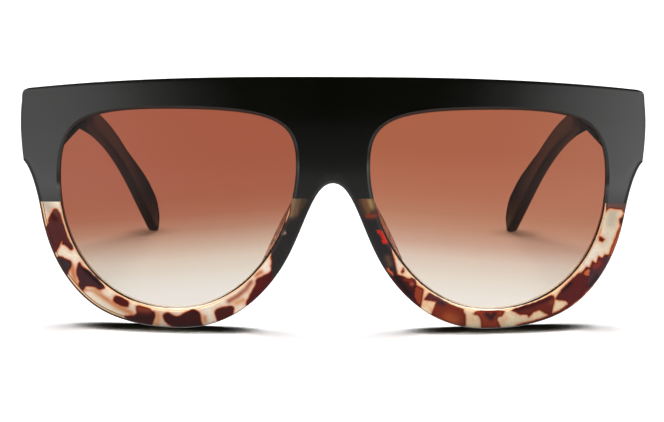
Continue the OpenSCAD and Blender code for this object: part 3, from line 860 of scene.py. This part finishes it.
BLOTCHES_LEFT = [
    ((48, 46, 47), [
        (2.1, 32.9), (9.6, 32.9), (11.2, 26.5), (13.4, 21.5), (15.2, 13.5), (13.5, 11.3), (11.1, 13.9),
        (8.7, 18.0), (4.0, 27.9)]),
    ((178, 48, 36), [
        (10.2, 24.3), (11.6, 24.1), (13.5, 20.8), (12.6, 21.0), (11.8, 20.7), (11.2, 22.7),
        (10.3, 23.6)]),
    ((110, 45, 28), [
        (16.9, 15.8), (17.2, 15.2), (16.4, 13.8), (16.1, 14.1)]),
    ((215, 90, 50), [
        (12.7, 15.3), (14.4, 13.6), (14.1, 13.2), (12.8, 14.6)]),
    ((74, 28, 28), [
        (14.6, 13.8), (17.8, 12.5), (18.9, 12.7), (19.5, 12.2), (19.6, 11.0), (21.4, 9.9), (20.6, 5.0),
        (17.7, 6.0), (14.9, 8.6), (12.5, 12.0)]),
    ((150, 62, 40), [
        (19.6, 10.7), (21.3, 9.8), (20.6, 6.1), (19.9, 6.7), (19.2, 8.6)]),
    ((123, 46, 32), [
        (21.5, 7.5), (22.8, 9.1), (27.9, 6.2), (30.9, 5.0), (30.8, 4.4), (31.3, 3.7), (31.4, 0.9),
        (29.2, 1.0), (23.3, 3.8), (24.5, 6.9)]),
    ((92, 42, 46), [
        (21.6, 7.5), (22.8, 9.0), (25.0, 7.7), (24.5, 7.0)]),
    ((150, 60, 38), [
        (33.3, 3.7), (34.1, 4.5), (40.8, 4.4), (40.0, 3.1), (39.2, 3.0), (38.8, 2.3), (39.9, 0.1),
        (35.3, 0.2), (35.0, 2.7), (34.4, 3.5)]),
    ((110, 42, 33), [
        (42.2, 4.5), (47.2, 5.9), (51.8, 7.7), (52.5, 7.4), (52.7, 6.6), (52.0, 3.3), (51.5, 2.8),
        (49.1, 4.3), (47.7, 3.8), (46.6, 2.7), (46.1, 3.3), (44.6, 3.3)]),
    ((100, 40, 28), [
        (43.6, 0.8), (49.0, 2.0), (54.1, 4.0), (56.5, 5.7), (57.0, 5.0), (51.5, 1.9), (46.2, 0.5),
        (43.8, 0.3)]),
    ((92, 36, 36), [
        (52.8, 6.7), (54.4, 9.1), (58.1, 12.6), (59.2, 13.0), (60.3, 14.2), (61.2, 14.1), (61.7, 15.6),
        (62.7, 15.0), (63.2, 16.7), (64.2, 16.1), (64.7, 17.1), (66.5, 16.6), (63.7, 11.5), (58.9, 6.5),
        (56.5, 4.9), (55.5, 6.2)]),
    ((78, 50, 54), [
        (61.1, 14.0), (61.7, 15.5), (62.7, 14.8), (63.3, 16.4), (64.2, 15.9), (64.7, 16.8), (66.5, 16.5),
        (63.7, 11.5), (61.3, 8.9), (60.8, 10.1)]),
    ((200, 100, 64), [
        (59.7, 12.7), (60.5, 13.7), (61.1, 13.8), (61.0, 12.3), (60.2, 12.1)]),
    ((100, 32, 22), [
        (63.2, 21.6), (64.6, 20.7), (64.1, 20.2), (63.3, 20.4)]),
    ((52, 46, 36), [
        (69.6, 26.6), (69.2, 23.8), (68.2, 24.4), (68.1, 25.4)]),
    ((100, 70, 64), [
        (64.7, 31.1), (70.6, 30.7), (70.2, 27.1), (69.4, 26.6), (68.8, 27.7), (65.7, 28.3),
        (64.8, 27.5)]),
    ((168, 80, 50), [
        (68.2, 23.6), (65.7, 16.8), (66.7, 16.6), (68.9, 22.3), (69.2, 23.8)])]

# Strokes of another shade inside the blotches and on the ground: a colour, a reach in millimetres and
# a line of x, z
SHADES_RIGHT = [
    ((112, 62, 52), 1.84, [(-66.5, 27.1)]),
    ((70, 22, 12), 0.92, [(-66.7, 26.1), (-66.0, 25.2)]),
    ((25, 12, 12), 0.55, [(-59.1, 13.7), (-57.2, 11.8), (-55.2, 10.0)]),
    ((140, 62, 45), 0.74, [(-45.9, 4.3), (-43.7, 4.2)]),
    ((92, 26, 24), 0.81, [(-16.6, 11.9), (-17.8, 10.2)]),
    ((230, 180, 160), 0.25, [(-11.3, 23.4)]),
    ((152, 122, 92), 0.97, [(-9.2, 31.2), (-9.4, 29.8), (-9.9, 28.1)]),
    ((108, 84, 64), 0.78, [(-7.9, 31.2), (-8.3, 29.8), (-8.8, 28.4)]),
    ((74, 62, 52), 0.78, [(-6.5, 31.2), (-7.2, 29.8)]),
    ((40, 40, 38), 0.45, [(-9.5, 32.1), (-4.0, 32.5)]),
    ((46, 44, 42), 0.9, [(-4.8, 31.4), (-6.4, 28.2)])]
SHADES_LEFT = [
    ((160, 130, 86), 0.83, [(8.5, 31.2), (9.0, 29.8)]),
    ((112, 78, 54), 0.83, [(7.1, 31.3), (7.6, 29.8), (8.2, 28.7)]),
    ((132, 62, 42), 0.51, [(8.0, 27.5), (8.9, 27.4), (9.9, 27.6)]),
    ((80, 62, 52), 0.69, [(6.2, 30.5), (7.0, 28.4)]),
    ((40, 40, 38), 0.45, [(4.0, 32.5), (9.5, 32.1)]),
    ((46, 44, 42), 0.9, [(4.6, 31.4), (6.2, 28.2)]),
    ((232, 44, 38), 0.46, [(12.1, 22.7), (12.6, 21.5)]),
    ((92, 70, 58), 0.69, [(12.9, 17.5), (13.4, 16.1)]),
    ((180, 92, 66), 0.46, [(18.6, 11.3)]),
    ((132, 48, 40), 0.37, [(17.0, 12.3), (18.4, 12.1), (19.1, 11.5)]),
    ((36, 26, 28), 0.78, [(14.9, 12.9), (16.3, 11.0), (18.2, 8.6)]),
    ((50, 40, 50), 0.74, [(25.2, 6.8), (26.0, 6.5)]),
    ((170, 82, 46), 1.38, [(27.2, 3.0), (28.7, 2.4)]),
    ((60, 35, 38), 0.83, [(36.5, 3.7), (37.5, 2.7), (38.2, 3.7)]),
    ((62, 30, 34), 0.60, [(43.4, 4.5), (47.3, 5.5), (51.6, 7.1)]),
    ((12, 8, 8), 0.60, [(54.5, 8.9), (55.4, 9.7), (56.4, 10.4)]),
    ((140, 52, 42), 0.69, [(62.6, 14.4), (63.4, 15.1)]),
    ((44, 42, 44), 0.69, [(61.3, 9.3), (63.0, 11.5)]),
    ((136, 60, 46), 0.69, [(52.1, 5.9)])]
GROUND_RIGHT = [
    ((198, 184, 166), 1.61, [(-69.1, 28.9), (-67.9, 28.2), (-67.2, 27.3)]),
    ((196, 112, 66), 0.85, [(-62.0, 13.8), (-61.6, 11.6), (-60.9, 8.0)]),
    ((216, 140, 88), 0.78, [(-56.5, 8.2), (-53.8, 6.4), (-50.9, 4.6), (-47.8, 3.3)]),
    ((240, 172, 122), 0.83, [(-41.3, 3.3), (-41.3, 1.8), (-41.6, 0.6)]),
    ((226, 150, 100), 0.65, [(-30.2, 2.9), (-30.1, 2.0)]),
    ((168, 72, 34), 0.70, [(-24.4, 6.9), (-22.3, 8.2), (-20.4, 9.8), (-19.2, 11.6)]),
    ((200, 96, 50), 0.60, [(-18.0, 13.3), (-16.8, 14.0)]),
    ((226, 156, 104), 0.69, [(-22.7, 6.5), (-21.1, 7.2)]),
    ((255, 250, 244), 0.69, [(-15.9, 15.9), (-15.2, 15.0)]),
    ((222, 170, 130), 0.51, [(-59.2, 8.3), (-57.2, 8.4), (-55.3, 8.0)])]
GROUND_LEFT = [
    ((194, 182, 162), 2.07, [(66.5, 26.8), (66.1, 24.4)]),
    ((222, 210, 192), 2.07, [(65.4, 21.5), (64.2, 19.4)]),
    ((242, 236, 226), 1.84, [(62.1, 17.8), (60.2, 15.4)]),
    ((238, 150, 80), 0.32, [(63.6, 23.3), (63.4, 22.1)]),
    ((240, 238, 232), 1.15, [(15.5, 16.5), (16.7, 15.1)]),
    ((250, 208, 162), 0.69, [(22.0, 6.4), (22.9, 5.4), (23.7, 4.5)]),
    ((252, 214, 172), 0.74, [(32.5, 2.8), (33.4, 1.9)]),
    ((250, 205, 158), 0.60, [(41.1, 2.6), (40.4, 1.7)])]
RIGHT_RIM = {"blotches": BLOTCHES_RIGHT, "shades": SHADES_RIGHT, "ground": GROUND_RIGHT,
             "cream": (252, 240, 220)}
LEFT_RIM = {"blotches": BLOTCHES_LEFT, "shades": SHADES_LEFT, "ground": GROUND_LEFT,
            "cream": (255, 236, 200)}
# The pattern takes no notice of a blotch that is farther off than this
FAR_FROM_BLOTCH = 2.0
# Nearer to the middle than this, the rim is beside the nose
NOSE_SIDE = 16.0
# From here on outward, the edge of the wearer's right rim is drawn wider
TRIM_FROM = 44.0
# Over these lengths the lines along the edges fade out
FADE = 4.0
FOOT_FADE = 12.0
# How wide the painted shade along the rim's outer edge is, in the plain stretch and in the wide one
EDGE_LINE = 0.25
EDGE_LINE_WIDE = 0.6
# Beyond all lines along the edge
NO_LINE = 9.0
# The cream side of the opening starts this far behind the face
# From this far behind the face the opening's wall is painted near-white, partly its cream and partly a
# painted highlight at the lens's edge
BEHIND_FROM = 1.3
BEHIND_FADE = 0.3
# What the gloss adds to a dark colour
GLOSS = 0.009


def rounded(points, steps=4):
    """A closed outline drawn smoothly through its points."""
    p = np.array(points)
    before, after, beyond = np.roll(p, 1, axis=0), np.roll(p, -1, axis=0), np.roll(p, -2, axis=0)
    result = []
    for i in range(len(p)):
        for t in np.arange(steps) / steps:
            result.append(0.5 * (2 * p[i] + (after[i] - before[i]) * t
                                 + (2 * before[i] - 5 * p[i] + 4 * after[i] - beyond[i]) * t * t
                                 + (3 * p[i] - before[i] - 3 * after[i] + beyond[i]) * t ** 3))
    return result


def under_gloss(colour):
    """A dark colour as it is without the gloss on it."""
    return np.maximum(np.array(srgb(*colour)) - GLOSS, 0.002)


def spread(colours, points, strokes):
    """Lays soft strokes of colour over the colours of the points."""
    for tone, reach, line in strokes:
        away = distance_all(points, line + line[-1:], False) / reach
        share = np.exp(-away ** 2)[:, None]
        colours += (under_gloss(tone) - colours) * share


def store(mesh, name, kind, values):
    """Stores one value or colour for each of the mesh's points."""
    attribute = mesh.attributes.new(name, kind, "POINT")
    if kind == "FLOAT":
        attribute.data.foreach_set("value", values)
    else:
        attribute.data.foreach_set("color", np.c_[values, np.ones(len(values))].ravel())


def paint_rim(mesh, sign, chain, loop):
    """Stores the tortoiseshell's pattern and the way to the rim's edges on its mesh. The ways to
    the edges place the painted shade and light along them. The pattern goes straight through the
    front."""
    co = np.empty(len(mesh.vertices) * 3)
    mesh.vertices.foreach_get("co", co)
    co = co.reshape(-1, 3) / MM
    points = co[:, [0, 2]]
    away_x = np.abs(points[:, 0])
    depth = FACE_R - np.hypot(points[:, 0], FACE_R + FACE_Y - co[:, 1])
    side = RIGHT_RIM if sign < 0 else LEFT_RIM
    blotch = np.full(len(points), -FAR_FROM_BLOTCH)
    tone = np.tile(under_gloss(side["blotches"][0][0]), (len(points), 1))
    for colour, outline in side["blotches"]:
        line = [np.array(p) for p in outline] if sign > 0 else rounded(outline)
        low, high = np.min(line, axis=0) - FAR_FROM_BLOTCH, np.max(line, axis=0) + FAR_FROM_BLOTCH
        near = np.all((points > low) & (points < high), axis=1)
        away = distance_all(points[near], line, True)
        inner = np.where(inside_all(points[near], line), away, -away)
        lead = np.full(len(points), -FAR_FROM_BLOTCH)
        lead[near] = np.maximum(inner, -FAR_FROM_BLOTCH)
        # Later blotches lie over earlier ones
        tone[lead >= np.minimum(blotch, 0.0)] = under_gloss(colour)
        blotch = np.maximum(blotch, lead)
    ground = np.tile(srgb(*side["cream"]), (len(points), 1))
    spread(tone, points, side["shades"])
    spread(ground, points, side["ground"])
    turned = points * (sign, 1)
    outer = distance_all(turned, [p for p in chain if p.y < TORTOISE_TOP_Z + 2], False)
    opening = distance_all(turned, loop, True)
    # Beside the nose the edges carry no line
    from_nose = np.clip((away_x - NOSE_SIDE) / FADE, 0, 1)
    trim = np.clip((away_x - TRIM_FROM) / FADE, 0, 1) * (sign < 0)
    # At the foot the opening has no painted dark line
    from_foot = np.maximum(away_x - FOOT.x, FOOT.x - FADE - away_x) / FOOT_FADE
    # Where the opening's wall is painted near-white, partly as a painted highlight of the lens's edge
    behind = np.clip((depth - BEHIND_FROM) / BEHIND_FADE, 0, 1) * (opening < OPENING_EDGE) * from_nose
    store(mesh, "tone", "FLOAT_COLOR", tone)
    store(mesh, "ground", "FLOAT_COLOR", ground)
    for name, values in (("blotch", blotch), ("trim", trim), ("behind", behind),
                         ("outer", outer / mix(EDGE_LINE, EDGE_LINE_WIDE, trim)
                          + NO_LINE * (1 - from_nose)),
                         ("opening", opening + np.clip((NOSE_SIDE - FADE - away_x) / FADE, 0, 1)),
                         ("line", np.clip(from_foot, 0, 1))):
        store(mesh, name, "FLOAT", values)


def make_front():
    bm, chain, loop = half_front()
    upper = half_of(bm, True)
    upper = joined(upper, mirrored(upper))
    bmesh.ops.remove_doubles(upper, verts=upper.verts[:], dist=2e-6)
    hinge_low, hinge_high = box_mm("front_hinge_left")
    low = hinge_low - Vector((SEAT_CLEAR,) * 3)
    # The pocket is open behind
    high = Vector((TEMPLE_IN_X + SEAT_CLEAR, FACE_Y + 20, hinge_high.z + SEAT_CLEAR))
    upper = cut_box(upper, low, high)
    upper = cut_box(upper, Vector((-high.x, low.y, low.z)), Vector((-low.x, high.y, high.z)))
    block = butt_block(chain)
    other = mirrored(block)
    upper = joined(joined(upper, block), other)
    piece(upper, "front_black", BLACK, "front", ["front_upper"])
    lower = half_of(bm, False)
    bm.free()
    rims = pair(lower, "rim_tortoise", (TORTOISE, TORTOISE), ON_FRONT, "rim_lower")
    for rim, sign in zip(rims, (1, -1)):
        paint_rim(rim.data, sign, chain, loop)


def make_lenses():
    """Curved sheets whose edges lie in the grooves."""
    bm = bmesh.new()
    loop = thinned(lens_loop(), True)
    chamfer = 0.25
    profile = [(LENS_SINK - chamfer, GROOVE_LIP), (LENS_SINK, GROOVE_LIP + chamfer),
               (LENS_SINK, GROOVE_LIP + LENS_T - chamfer), (LENS_SINK - chamfer, GROOVE_LIP + LENS_T)]
    rings, flat = sheet_rings(bm, loop, normals(loop, True), profile)
    strip(bm, rings, True, False)
    for k, flip in ((0, False), (-1, True)):
        rim = list(zip(flat[k], rings[k]))
        cap_faces(bm, [rim], flat[k], [], profile[k][1], LENS_ZONES, flip)
    pair(bm, "lens_sheet", (LENS_LEFT, LENS_RIGHT), ON_FRONT, "lens")


PAD_DEPTH = 6.0
PAD_T = 2.4
PAD_LEN = 22.0
PAD_LEAN = math.radians(20)
PAD_BURY = 1.0
PAD_ROOT_T = RIM_NASAL - 0.5
# Where on the lens's lower nasal quarter the pad ends, and how much that quarter bows out
PAD_TOP = 0.86
NASAL_BOW = 0.82
PAD_LOW = PAD_TOP - PAD_LEN / (FOOT - NOSE).length * NASAL_BOW
# How full the pad is at its ends and sides, and how much its rounded end bulges
PAD_FULL = 0.8
PAD_BULGE = 0.08
PAD_RINGS = 48
PAD_ARC = 14


def make_pads():
    """Nose pads that lean away from the nose and fade out along the nasal rim."""
    bm = bmesh.new()
    rings = []
    for i in range(PAD_RINGS + 1):
        u = i / PAD_RINGS
        t = mix(PAD_LOW, PAD_TOP, u)
        n = outward(LOWER_INNER, t)
        mid = bezier(LOWER_INNER, t) + n * rim_width(n) / 2
        depth = (PAD_DEPTH + PAD_BURY / 3) * math.sin(math.pi * u) ** PAD_FULL - PAD_BURY / 3
        back = FACE_Y + bow(mid.x, FRONT_T)
        thick = mix(PAD_ROOT_T, PAD_T, 1 - abs(1 - 2 * u))
        # A buried foot, then a rounded end that bulges a little
        plan = [(-PAD_ROOT_T / 2, -PAD_BURY), (PAD_ROOT_T / 2, -PAD_BURY)]
        for k in range(PAD_ARC + 1):
            a = math.pi * k / PAD_ARC
            plan.append((thick / 2 * math.cos(a) * (1 + PAD_BULGE * math.sin(a)),
                         depth * (0.45 + 0.55 * math.sin(a) ** PAD_FULL)))
        ring = []
        for across, behind in plan:
            slid = across - max(behind, 0.0) * math.tan(PAD_LEAN)
            p = Vector((mid.x + n.x * slid, back + behind, mid.y + n.y * slid))
            ring.append(bm.verts.new(p * MM))
        rings.append(ring)
    tube(bm, rings)
    pair(bm, "pad", (PAD, PAD), ON_FRONT, "nose_pad")


# The temples

BEND_H = 6.8
TIP_H = 11.5
TAPER_LEN = 96.0
SLOPE = 3.3
BEND_START = 70.5
BEND_R = 60.0
EAR_DROP = 54.5
INWARD_START = 78.0
INWARD_R = 44.0
INWARD = 16.0
PADDLE_START = 112.5
PADDLE_LEN = 22.0
TIP_ROUND = 6.5
HEEL_R = 1.6
TEMPLE_EDGE = 1.1
UPRIGHT_LEN = 4.0
PATH_STEPS = 220
CORNER_STEPS = 6


def fall(s):
    return math.radians(min(EAR_DROP, SLOPE + math.degrees(max(0.0, s - BEND_START) / BEND_R)))


def turn(s):
    return math.radians(min(INWARD, math.degrees(max(0.0, s - INWARD_START) / INWARD_R)))


def heading(s):
    return Vector((-math.sin(turn(s)), math.cos(fall(s)) * math.cos(turn(s)),
                   -math.sin(fall(s)) * math.cos(turn(s))))


def temple_path():
    """Points of the middle line at even steps, up to where the bends end."""
    bends_end = max(BEND_START + math.radians(EAR_DROP - SLOPE) * BEND_R,
                    INWARD_START + math.radians(INWARD) * INWARD_R)
    step = bends_end / PATH_STEPS
    points = [Vector((TEMPLE_MID_X, JOINT_Y, ROOT_Z))]
    for i in range(PATH_STEPS):
        points.append(points[-1] + step * heading((i + 0.5) * step))
    return points, step, bends_end


def make_temples():
    points, step, bends_end = temple_path()
    drop, inward = math.radians(EAR_DROP), math.radians(INWARD)
    # The tip ends where its rounded heel stands on the floor
    heel_up = HEEL_R - BEND_H / 2
    heel_reach = HEEL_R * math.hypot(math.sin(drop) * math.cos(inward), math.cos(drop))
    left = points[-1].z + heel_up * math.cos(drop) - heel_reach
    heel_s = bends_end + left / (math.sin(drop) * math.cos(inward))
    temple_len = heel_s + HEEL_R
    round_s = temple_len - TIP_ROUND

    def on_path(s):
        if s >= bends_end:
            return points[-1] + (s - bends_end) * heading(s)
        i = min(len(points) - 2, int(s / step))
        return points[i].lerp(points[i + 1], s / step - i)

    def arc_share(s, start, length):
        return math.sqrt(max(0.0, 1 - max(0.0, (s - start) / length) ** 2))

    def above(s):
        taper = (ROOT_H - BEND_H) / 2 * (1 - ease(s / TAPER_LEN))
        full = BEND_H / 2 + taper + (TIP_H - BEND_H) * ease((s - PADDLE_START) / PADDLE_LEN)
        return mix(heel_up, full, arc_share(s, round_s, TIP_ROUND))

    def below(s):
        taper = (ROOT_H - BEND_H) / 2 * (1 - ease(s / TAPER_LEN))
        return BEND_H / 2 + taper - HEEL_R * (1 - arc_share(s, heel_s, HEEL_R))

    def ring_at(s, inset):
        up = Vector((0.0, math.sin(fall(s)), math.cos(fall(s))))
        side = Vector((math.cos(turn(s)), math.sin(turn(s)), 0.0))
        middle = on_path(s)
        top, low = above(s) - inset, below(s) - inset
        half = TEMPLE_T / 2 - inset
        near_end = ease((s - temple_len + TEMPLE_EDGE) / TEMPLE_EDGE)
        half -= TEMPLE_EDGE * near_end * 0.6
        # The corners' radius stays within the section
        r = min(TEMPLE_EDGE - inset, (top + low) * 0.45, half * 0.9)
        ring = []
        for sx, sz in ((1, 1), (-1, 1), (-1, -1), (1, -1)):
            for k in range(CORNER_STEPS + 1):
                a = math.pi / 2 * (k if sx * sz > 0 else CORNER_STEPS - k) / CORNER_STEPS
                reach_up = (top if sz > 0 else low) - r + r * math.sin(a)
                p = middle + side * sx * (half - r + r * math.cos(a)) + up * sz * reach_up
                if s < UPRIGHT_LEN:
                    # The joint's end is upright, so the slope of the path is taken out there
                    p.y = JOINT_Y + s
                p.y = min(p.y, temple_high.y)
                ring.append(bm.verts.new(p * MM))
        return ring

    # Where the rings lie along the temple, and how far each is drawn in for the chamfered end
    start = SWING_GAP / 2
    chamfer = 0.3
    stations = [(start, chamfer), (start + chamfer * 0.3, chamfer * 0.3), (start + chamfer, 0.0)]
    count, end_steps = 150, 26
    stations += [(mix(start + chamfer, round_s, i / count), 0.0) for i in range(1, count + 1)]
    stations += [(round_s + (temple_len - round_s) * math.sin(math.pi / 2 * i / end_steps), 0.0)
                 for i in range(1, end_steps)]
    stations.append((temple_len - 0.002, 0.0))
    bm = bmesh.new()
    tube(bm, [ring_at(s, inset) for s, inset in stations])
    bmesh.ops.recalc_face_normals(bm, faces=bm.faces[:])
    _, leaf_high = box_mm("temple_hinge_left")
    tall = LEAF_H / 2 + SEAT_CLEAR
    bm = cut_box(bm, Vector((TEMPLE_IN_X - 1, JOINT_Y - 1, ROOT_Z - tall)),
                 Vector((leaf_high.x + SEAT_CLEAR, leaf_high.y + SEAT_CLEAR, ROOT_Z + tall)))
    pair(bm, "temple_arm", (TEMPLE_BLACK, TEMPLE_BLACK), ("temple_left_body", "temple_right_body"),
         "temple")


make_front()
make_lenses()
make_pads()
make_temples()

for name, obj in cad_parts.items():
    if "hinge" in name or "core" in name:
        obj.data.materials.clear()
        obj.data.materials.append(METAL)

scene = bpy.context.scene

# Camera: as the photograph's, before the face and looking down on it a little
CAMERA_DISTANCE = 480.0
CAMERA_HEIGHT = 105.1
CAMERA_ASIDE = -0.21
CAMERA_PITCH = 9.05
CAMERA_ROLL = 0.18
FOCAL_PIXELS = 2084.0
FRAME_PIXELS = 664.0
SENSOR_W = 36.0
camera_data = bpy.data.cameras.new("camera")
camera_data.sensor_width = SENSOR_W
camera_data.lens = FOCAL_PIXELS / FRAME_PIXELS * SENSOR_W
camera_data.clip_start = 0.01
camera_data.clip_end = 50.0
camera = bpy.data.objects.new("camera", camera_data)
scene.collection.objects.link(camera)
camera.matrix_world = (
    Matrix.Translation(Vector((CAMERA_ASIDE, FACE_Y - CAMERA_DISTANCE, CAMERA_HEIGHT)) * MM)
    @ Matrix.Rotation(math.radians(90 - CAMERA_PITCH), 4, "X")
    @ Matrix.Rotation(math.radians(CAMERA_ROLL), 4, "Z"))
scene.camera = camera

# A wide soft light from above and behind. It isn't seen as a reflection in the gloss.
SUN_LEAN = 22.0
SUN_WIDE = 40.0
SUN_STRENGTH = 4.15
sun_data = bpy.data.lights.new("soft_light", "SUN")
sun_data.energy = SUN_STRENGTH
sun_data.angle = math.radians(SUN_WIDE)
sun = bpy.data.objects.new("soft_light", sun_data)
sun.rotation_euler = (math.radians(-SUN_LEAN), 0.0, 0.0)
sun.visible_glossy = False
scene.collection.objects.link(sun)

# What the gloss mirrors: two bright panels at the sides, dark in front and overhead. Each stop
# is how far a ray points to the wearer's left and the brightness there.
PANELS = [(-1.0, 0.9), (-0.8, 1.7), (-0.65, 1.75), (-0.584, 1.62), (-0.516, 1.3), (-0.42, 0.62),
          (-0.33, 0.25), (-0.23, 0.03), (0.0, 0.0), (0.23, 0.02), (0.32, 0.1), (0.414, 0.4),
          (0.506, 1.15), (0.6, 1.85), (0.68, 2.4), (0.8, 2.3), (1.0, 1.2)]
BRIGHTEST = 2.5
# The light all round: brighter near the horizon, where it falls on what stands upright
SKY = [(0.0, 1.75), (0.28, 1.5), (0.36, 0.1), (1.0, 0.1)]
# Behind the object the light all round keeps this share of its brightness
SKY_BEHIND = 0.2
FLOOR_COLOUR = (0.95, 0.95, 0.95)
# How bright the gloss mirrors the floor by its distance in metres
FLOOR_MIRRORED = [(0.0, 1.0), (0.14, 1.0), (0.19, 0.6), (0.25, 0.58), (0.331, 0.45), (0.364, 0.2),
                  (0.44, 0.14), (0.477, 0.1), (0.526, 0.01), (0.67, 0.0)]
# Behind a lens the floor counts as just white, so that the tint shows as it is
FLOOR_THROUGH_LENS = (0.42, 0.413, 0.406)
LENS_FLOOR_GLOW = (0.36, 0.355, 0.35)
# What the floor glows for the camera by itself, so that only deep shadow shows on it
FLOOR_GLOW = (0.25, 0.25, 0.25)
# The floor darkens where things this near hide the sky. It is dark with the first share of the
# sky open, and plain with the second.
CONTACT_REACH = 7.8
CONTACT_OPEN = (0.72, 0.92)
# The floor looks for what darkens it in this direction, up and away from the face
CONTACT_WAY = (0.0, 0.7, 0.7)
CONTACT_COLOUR = (0.028, 0.028, 0.02)
# Seen through a lens, the floor keeps at least this share of its own colour
CONTACT_SOFTER = 0.8
# Between these distances in metres the panels rise into what the gloss mirrors of the floor
BESIDE_FROM = (0.22, 0.33)
FLOOR_SIZE = 12.0


def brightness(tree, source, low, stops):
    """Brightness along a ramp whose stops run from low to 1."""
    span = node(tree, "ShaderNodeMapRange", {"Value": source, "From Min": low}).outputs["Result"]
    shade = ramp(tree, span, [((at - low) / (1 - low), (value / BRIGHTEST,) * 3)
                              for at, value in stops])
    return calc(tree, "MULTIPLY", shade, BRIGHTEST)


def make_floor():
    """A white floor. Gloss mirrors it bright near the object and darker farther off."""
    bpy.ops.mesh.primitive_plane_add(size=FLOOR_SIZE, location=(0, 0, 0))
    floor = bpy.context.object
    floor.name = "floor"
    material = bpy.data.materials.new("floor")
    material.use_nodes = True
    tree = material.node_tree
    tree.nodes.clear()
    rays = node(tree, "ShaderNodeLightPath").outputs
    through_lens = rays["Is Transmission Ray"]
    way = node(tree, "ShaderNodeCombineXYZ", dict(zip("XYZ", CONTACT_WAY)))
    looking = {"Normal": way.outputs["Vector"], "Distance": CONTACT_REACH * MM}
    around = node(tree, "ShaderNodeAmbientOcclusion", looking, samples=8)
    contact = calc(tree, "MAXIMUM", rise(tree, around.outputs["AO"], *CONTACT_OPEN),
                   calc(tree, "MULTIPLY", through_lens, CONTACT_SOFTER))
    paint = blend(tree, through_lens, FLOOR_COLOUR, FLOOR_THROUGH_LENS)
    paint = blend(tree, contact, CONTACT_COLOUR, paint)
    glow = blend(tree, rays["Is Camera Ray"], (0.0, 0.0, 0.0), FLOOR_GLOW)
    glow = blend(tree, through_lens, glow, LENS_FLOOR_GLOW)
    diffuse = node(tree, "ShaderNodeBsdfDiffuse", {"Color": paint})
    own_glow = node(tree, "ShaderNodeEmission", {"Color": glow, "Strength": contact})
    seen = node(tree, "ShaderNodeAddShader", {0: diffuse.outputs[0], 1: own_glow.outputs[0]})
    coords = node(tree, "ShaderNodeTexCoord").outputs["Object"]
    away = node(tree, "ShaderNodeVectorMath", {0: coords}, operation="LENGTH").outputs["Value"]
    split = node(tree, "ShaderNodeSeparateXYZ", {"Vector": coords})
    sideways = calc(tree, "DIVIDE", split.outputs["X"], away)
    near = ramp(tree, away, [(at, (value,) * 3) for at, value in FLOOR_MIRRORED])
    beside = calc(tree, "MULTIPLY", brightness(tree, sideways, -1.0, PANELS),
                  rise(tree, away, *BESIDE_FROM))
    bright = calc(tree, "ADD", near, beside)
    mirrored_glow = node(tree, "ShaderNodeEmission", {"Color": WHITE, "Strength": bright})
    # A ray refracted by a lens counts as both kinds, and sees the floor as it is
    mirrored_ray = calc(tree, "GREATER_THAN", rays["Is Glossy Ray"], through_lens)
    both = mixed(tree, mirrored_ray, seen.outputs[0], mirrored_glow.outputs[0])
    node(tree, "ShaderNodeOutputMaterial", {"Surface": both})
    floor.data.materials.append(material)


def make_world():
    """Light all round for the object, the panels for the gloss, and white for the camera."""
    world = bpy.data.worlds.new("world")
    scene.world = world
    world.use_nodes = True
    tree = world.node_tree
    tree.nodes.clear()
    rays = node(tree, "ShaderNodeLightPath").outputs
    ray_way = node(tree, "ShaderNodeTexCoord").outputs["Generated"]
    split = node(tree, "ShaderNodeSeparateXYZ", {"Vector": ray_way}).outputs
    span = {"Value": split["Y"], "From Min": -0.3, "From Max": 0.3, "To Min": 1.0, "To Max": SKY_BEHIND}
    ahead = node(tree, "ShaderNodeMapRange", span)
    sky = calc(tree, "MULTIPLY", brightness(tree, split["Z"], 0.0, SKY), ahead.outputs["Result"])
    gloss = brightness(tree, split["X"], -1.0, PANELS)
    sky, gloss, white = (
        node(tree, "ShaderNodeBackground", {"Color": WHITE, "Strength": strength}).outputs[0]
        for strength in (sky, gloss, 1.0))
    shown = calc(tree, "MAXIMUM", rays["Is Camera Ray"], rays["Is Transmission Ray"])
    seen = mixed(tree, shown, mixed(tree, rays["Is Glossy Ray"], sky, gloss), white)
    node(tree, "ShaderNodeOutputWorld", {"Surface": seen})


make_floor()
make_world()
scene.view_settings.view_transform = "Standard"

bpy.context.view_layer.update()
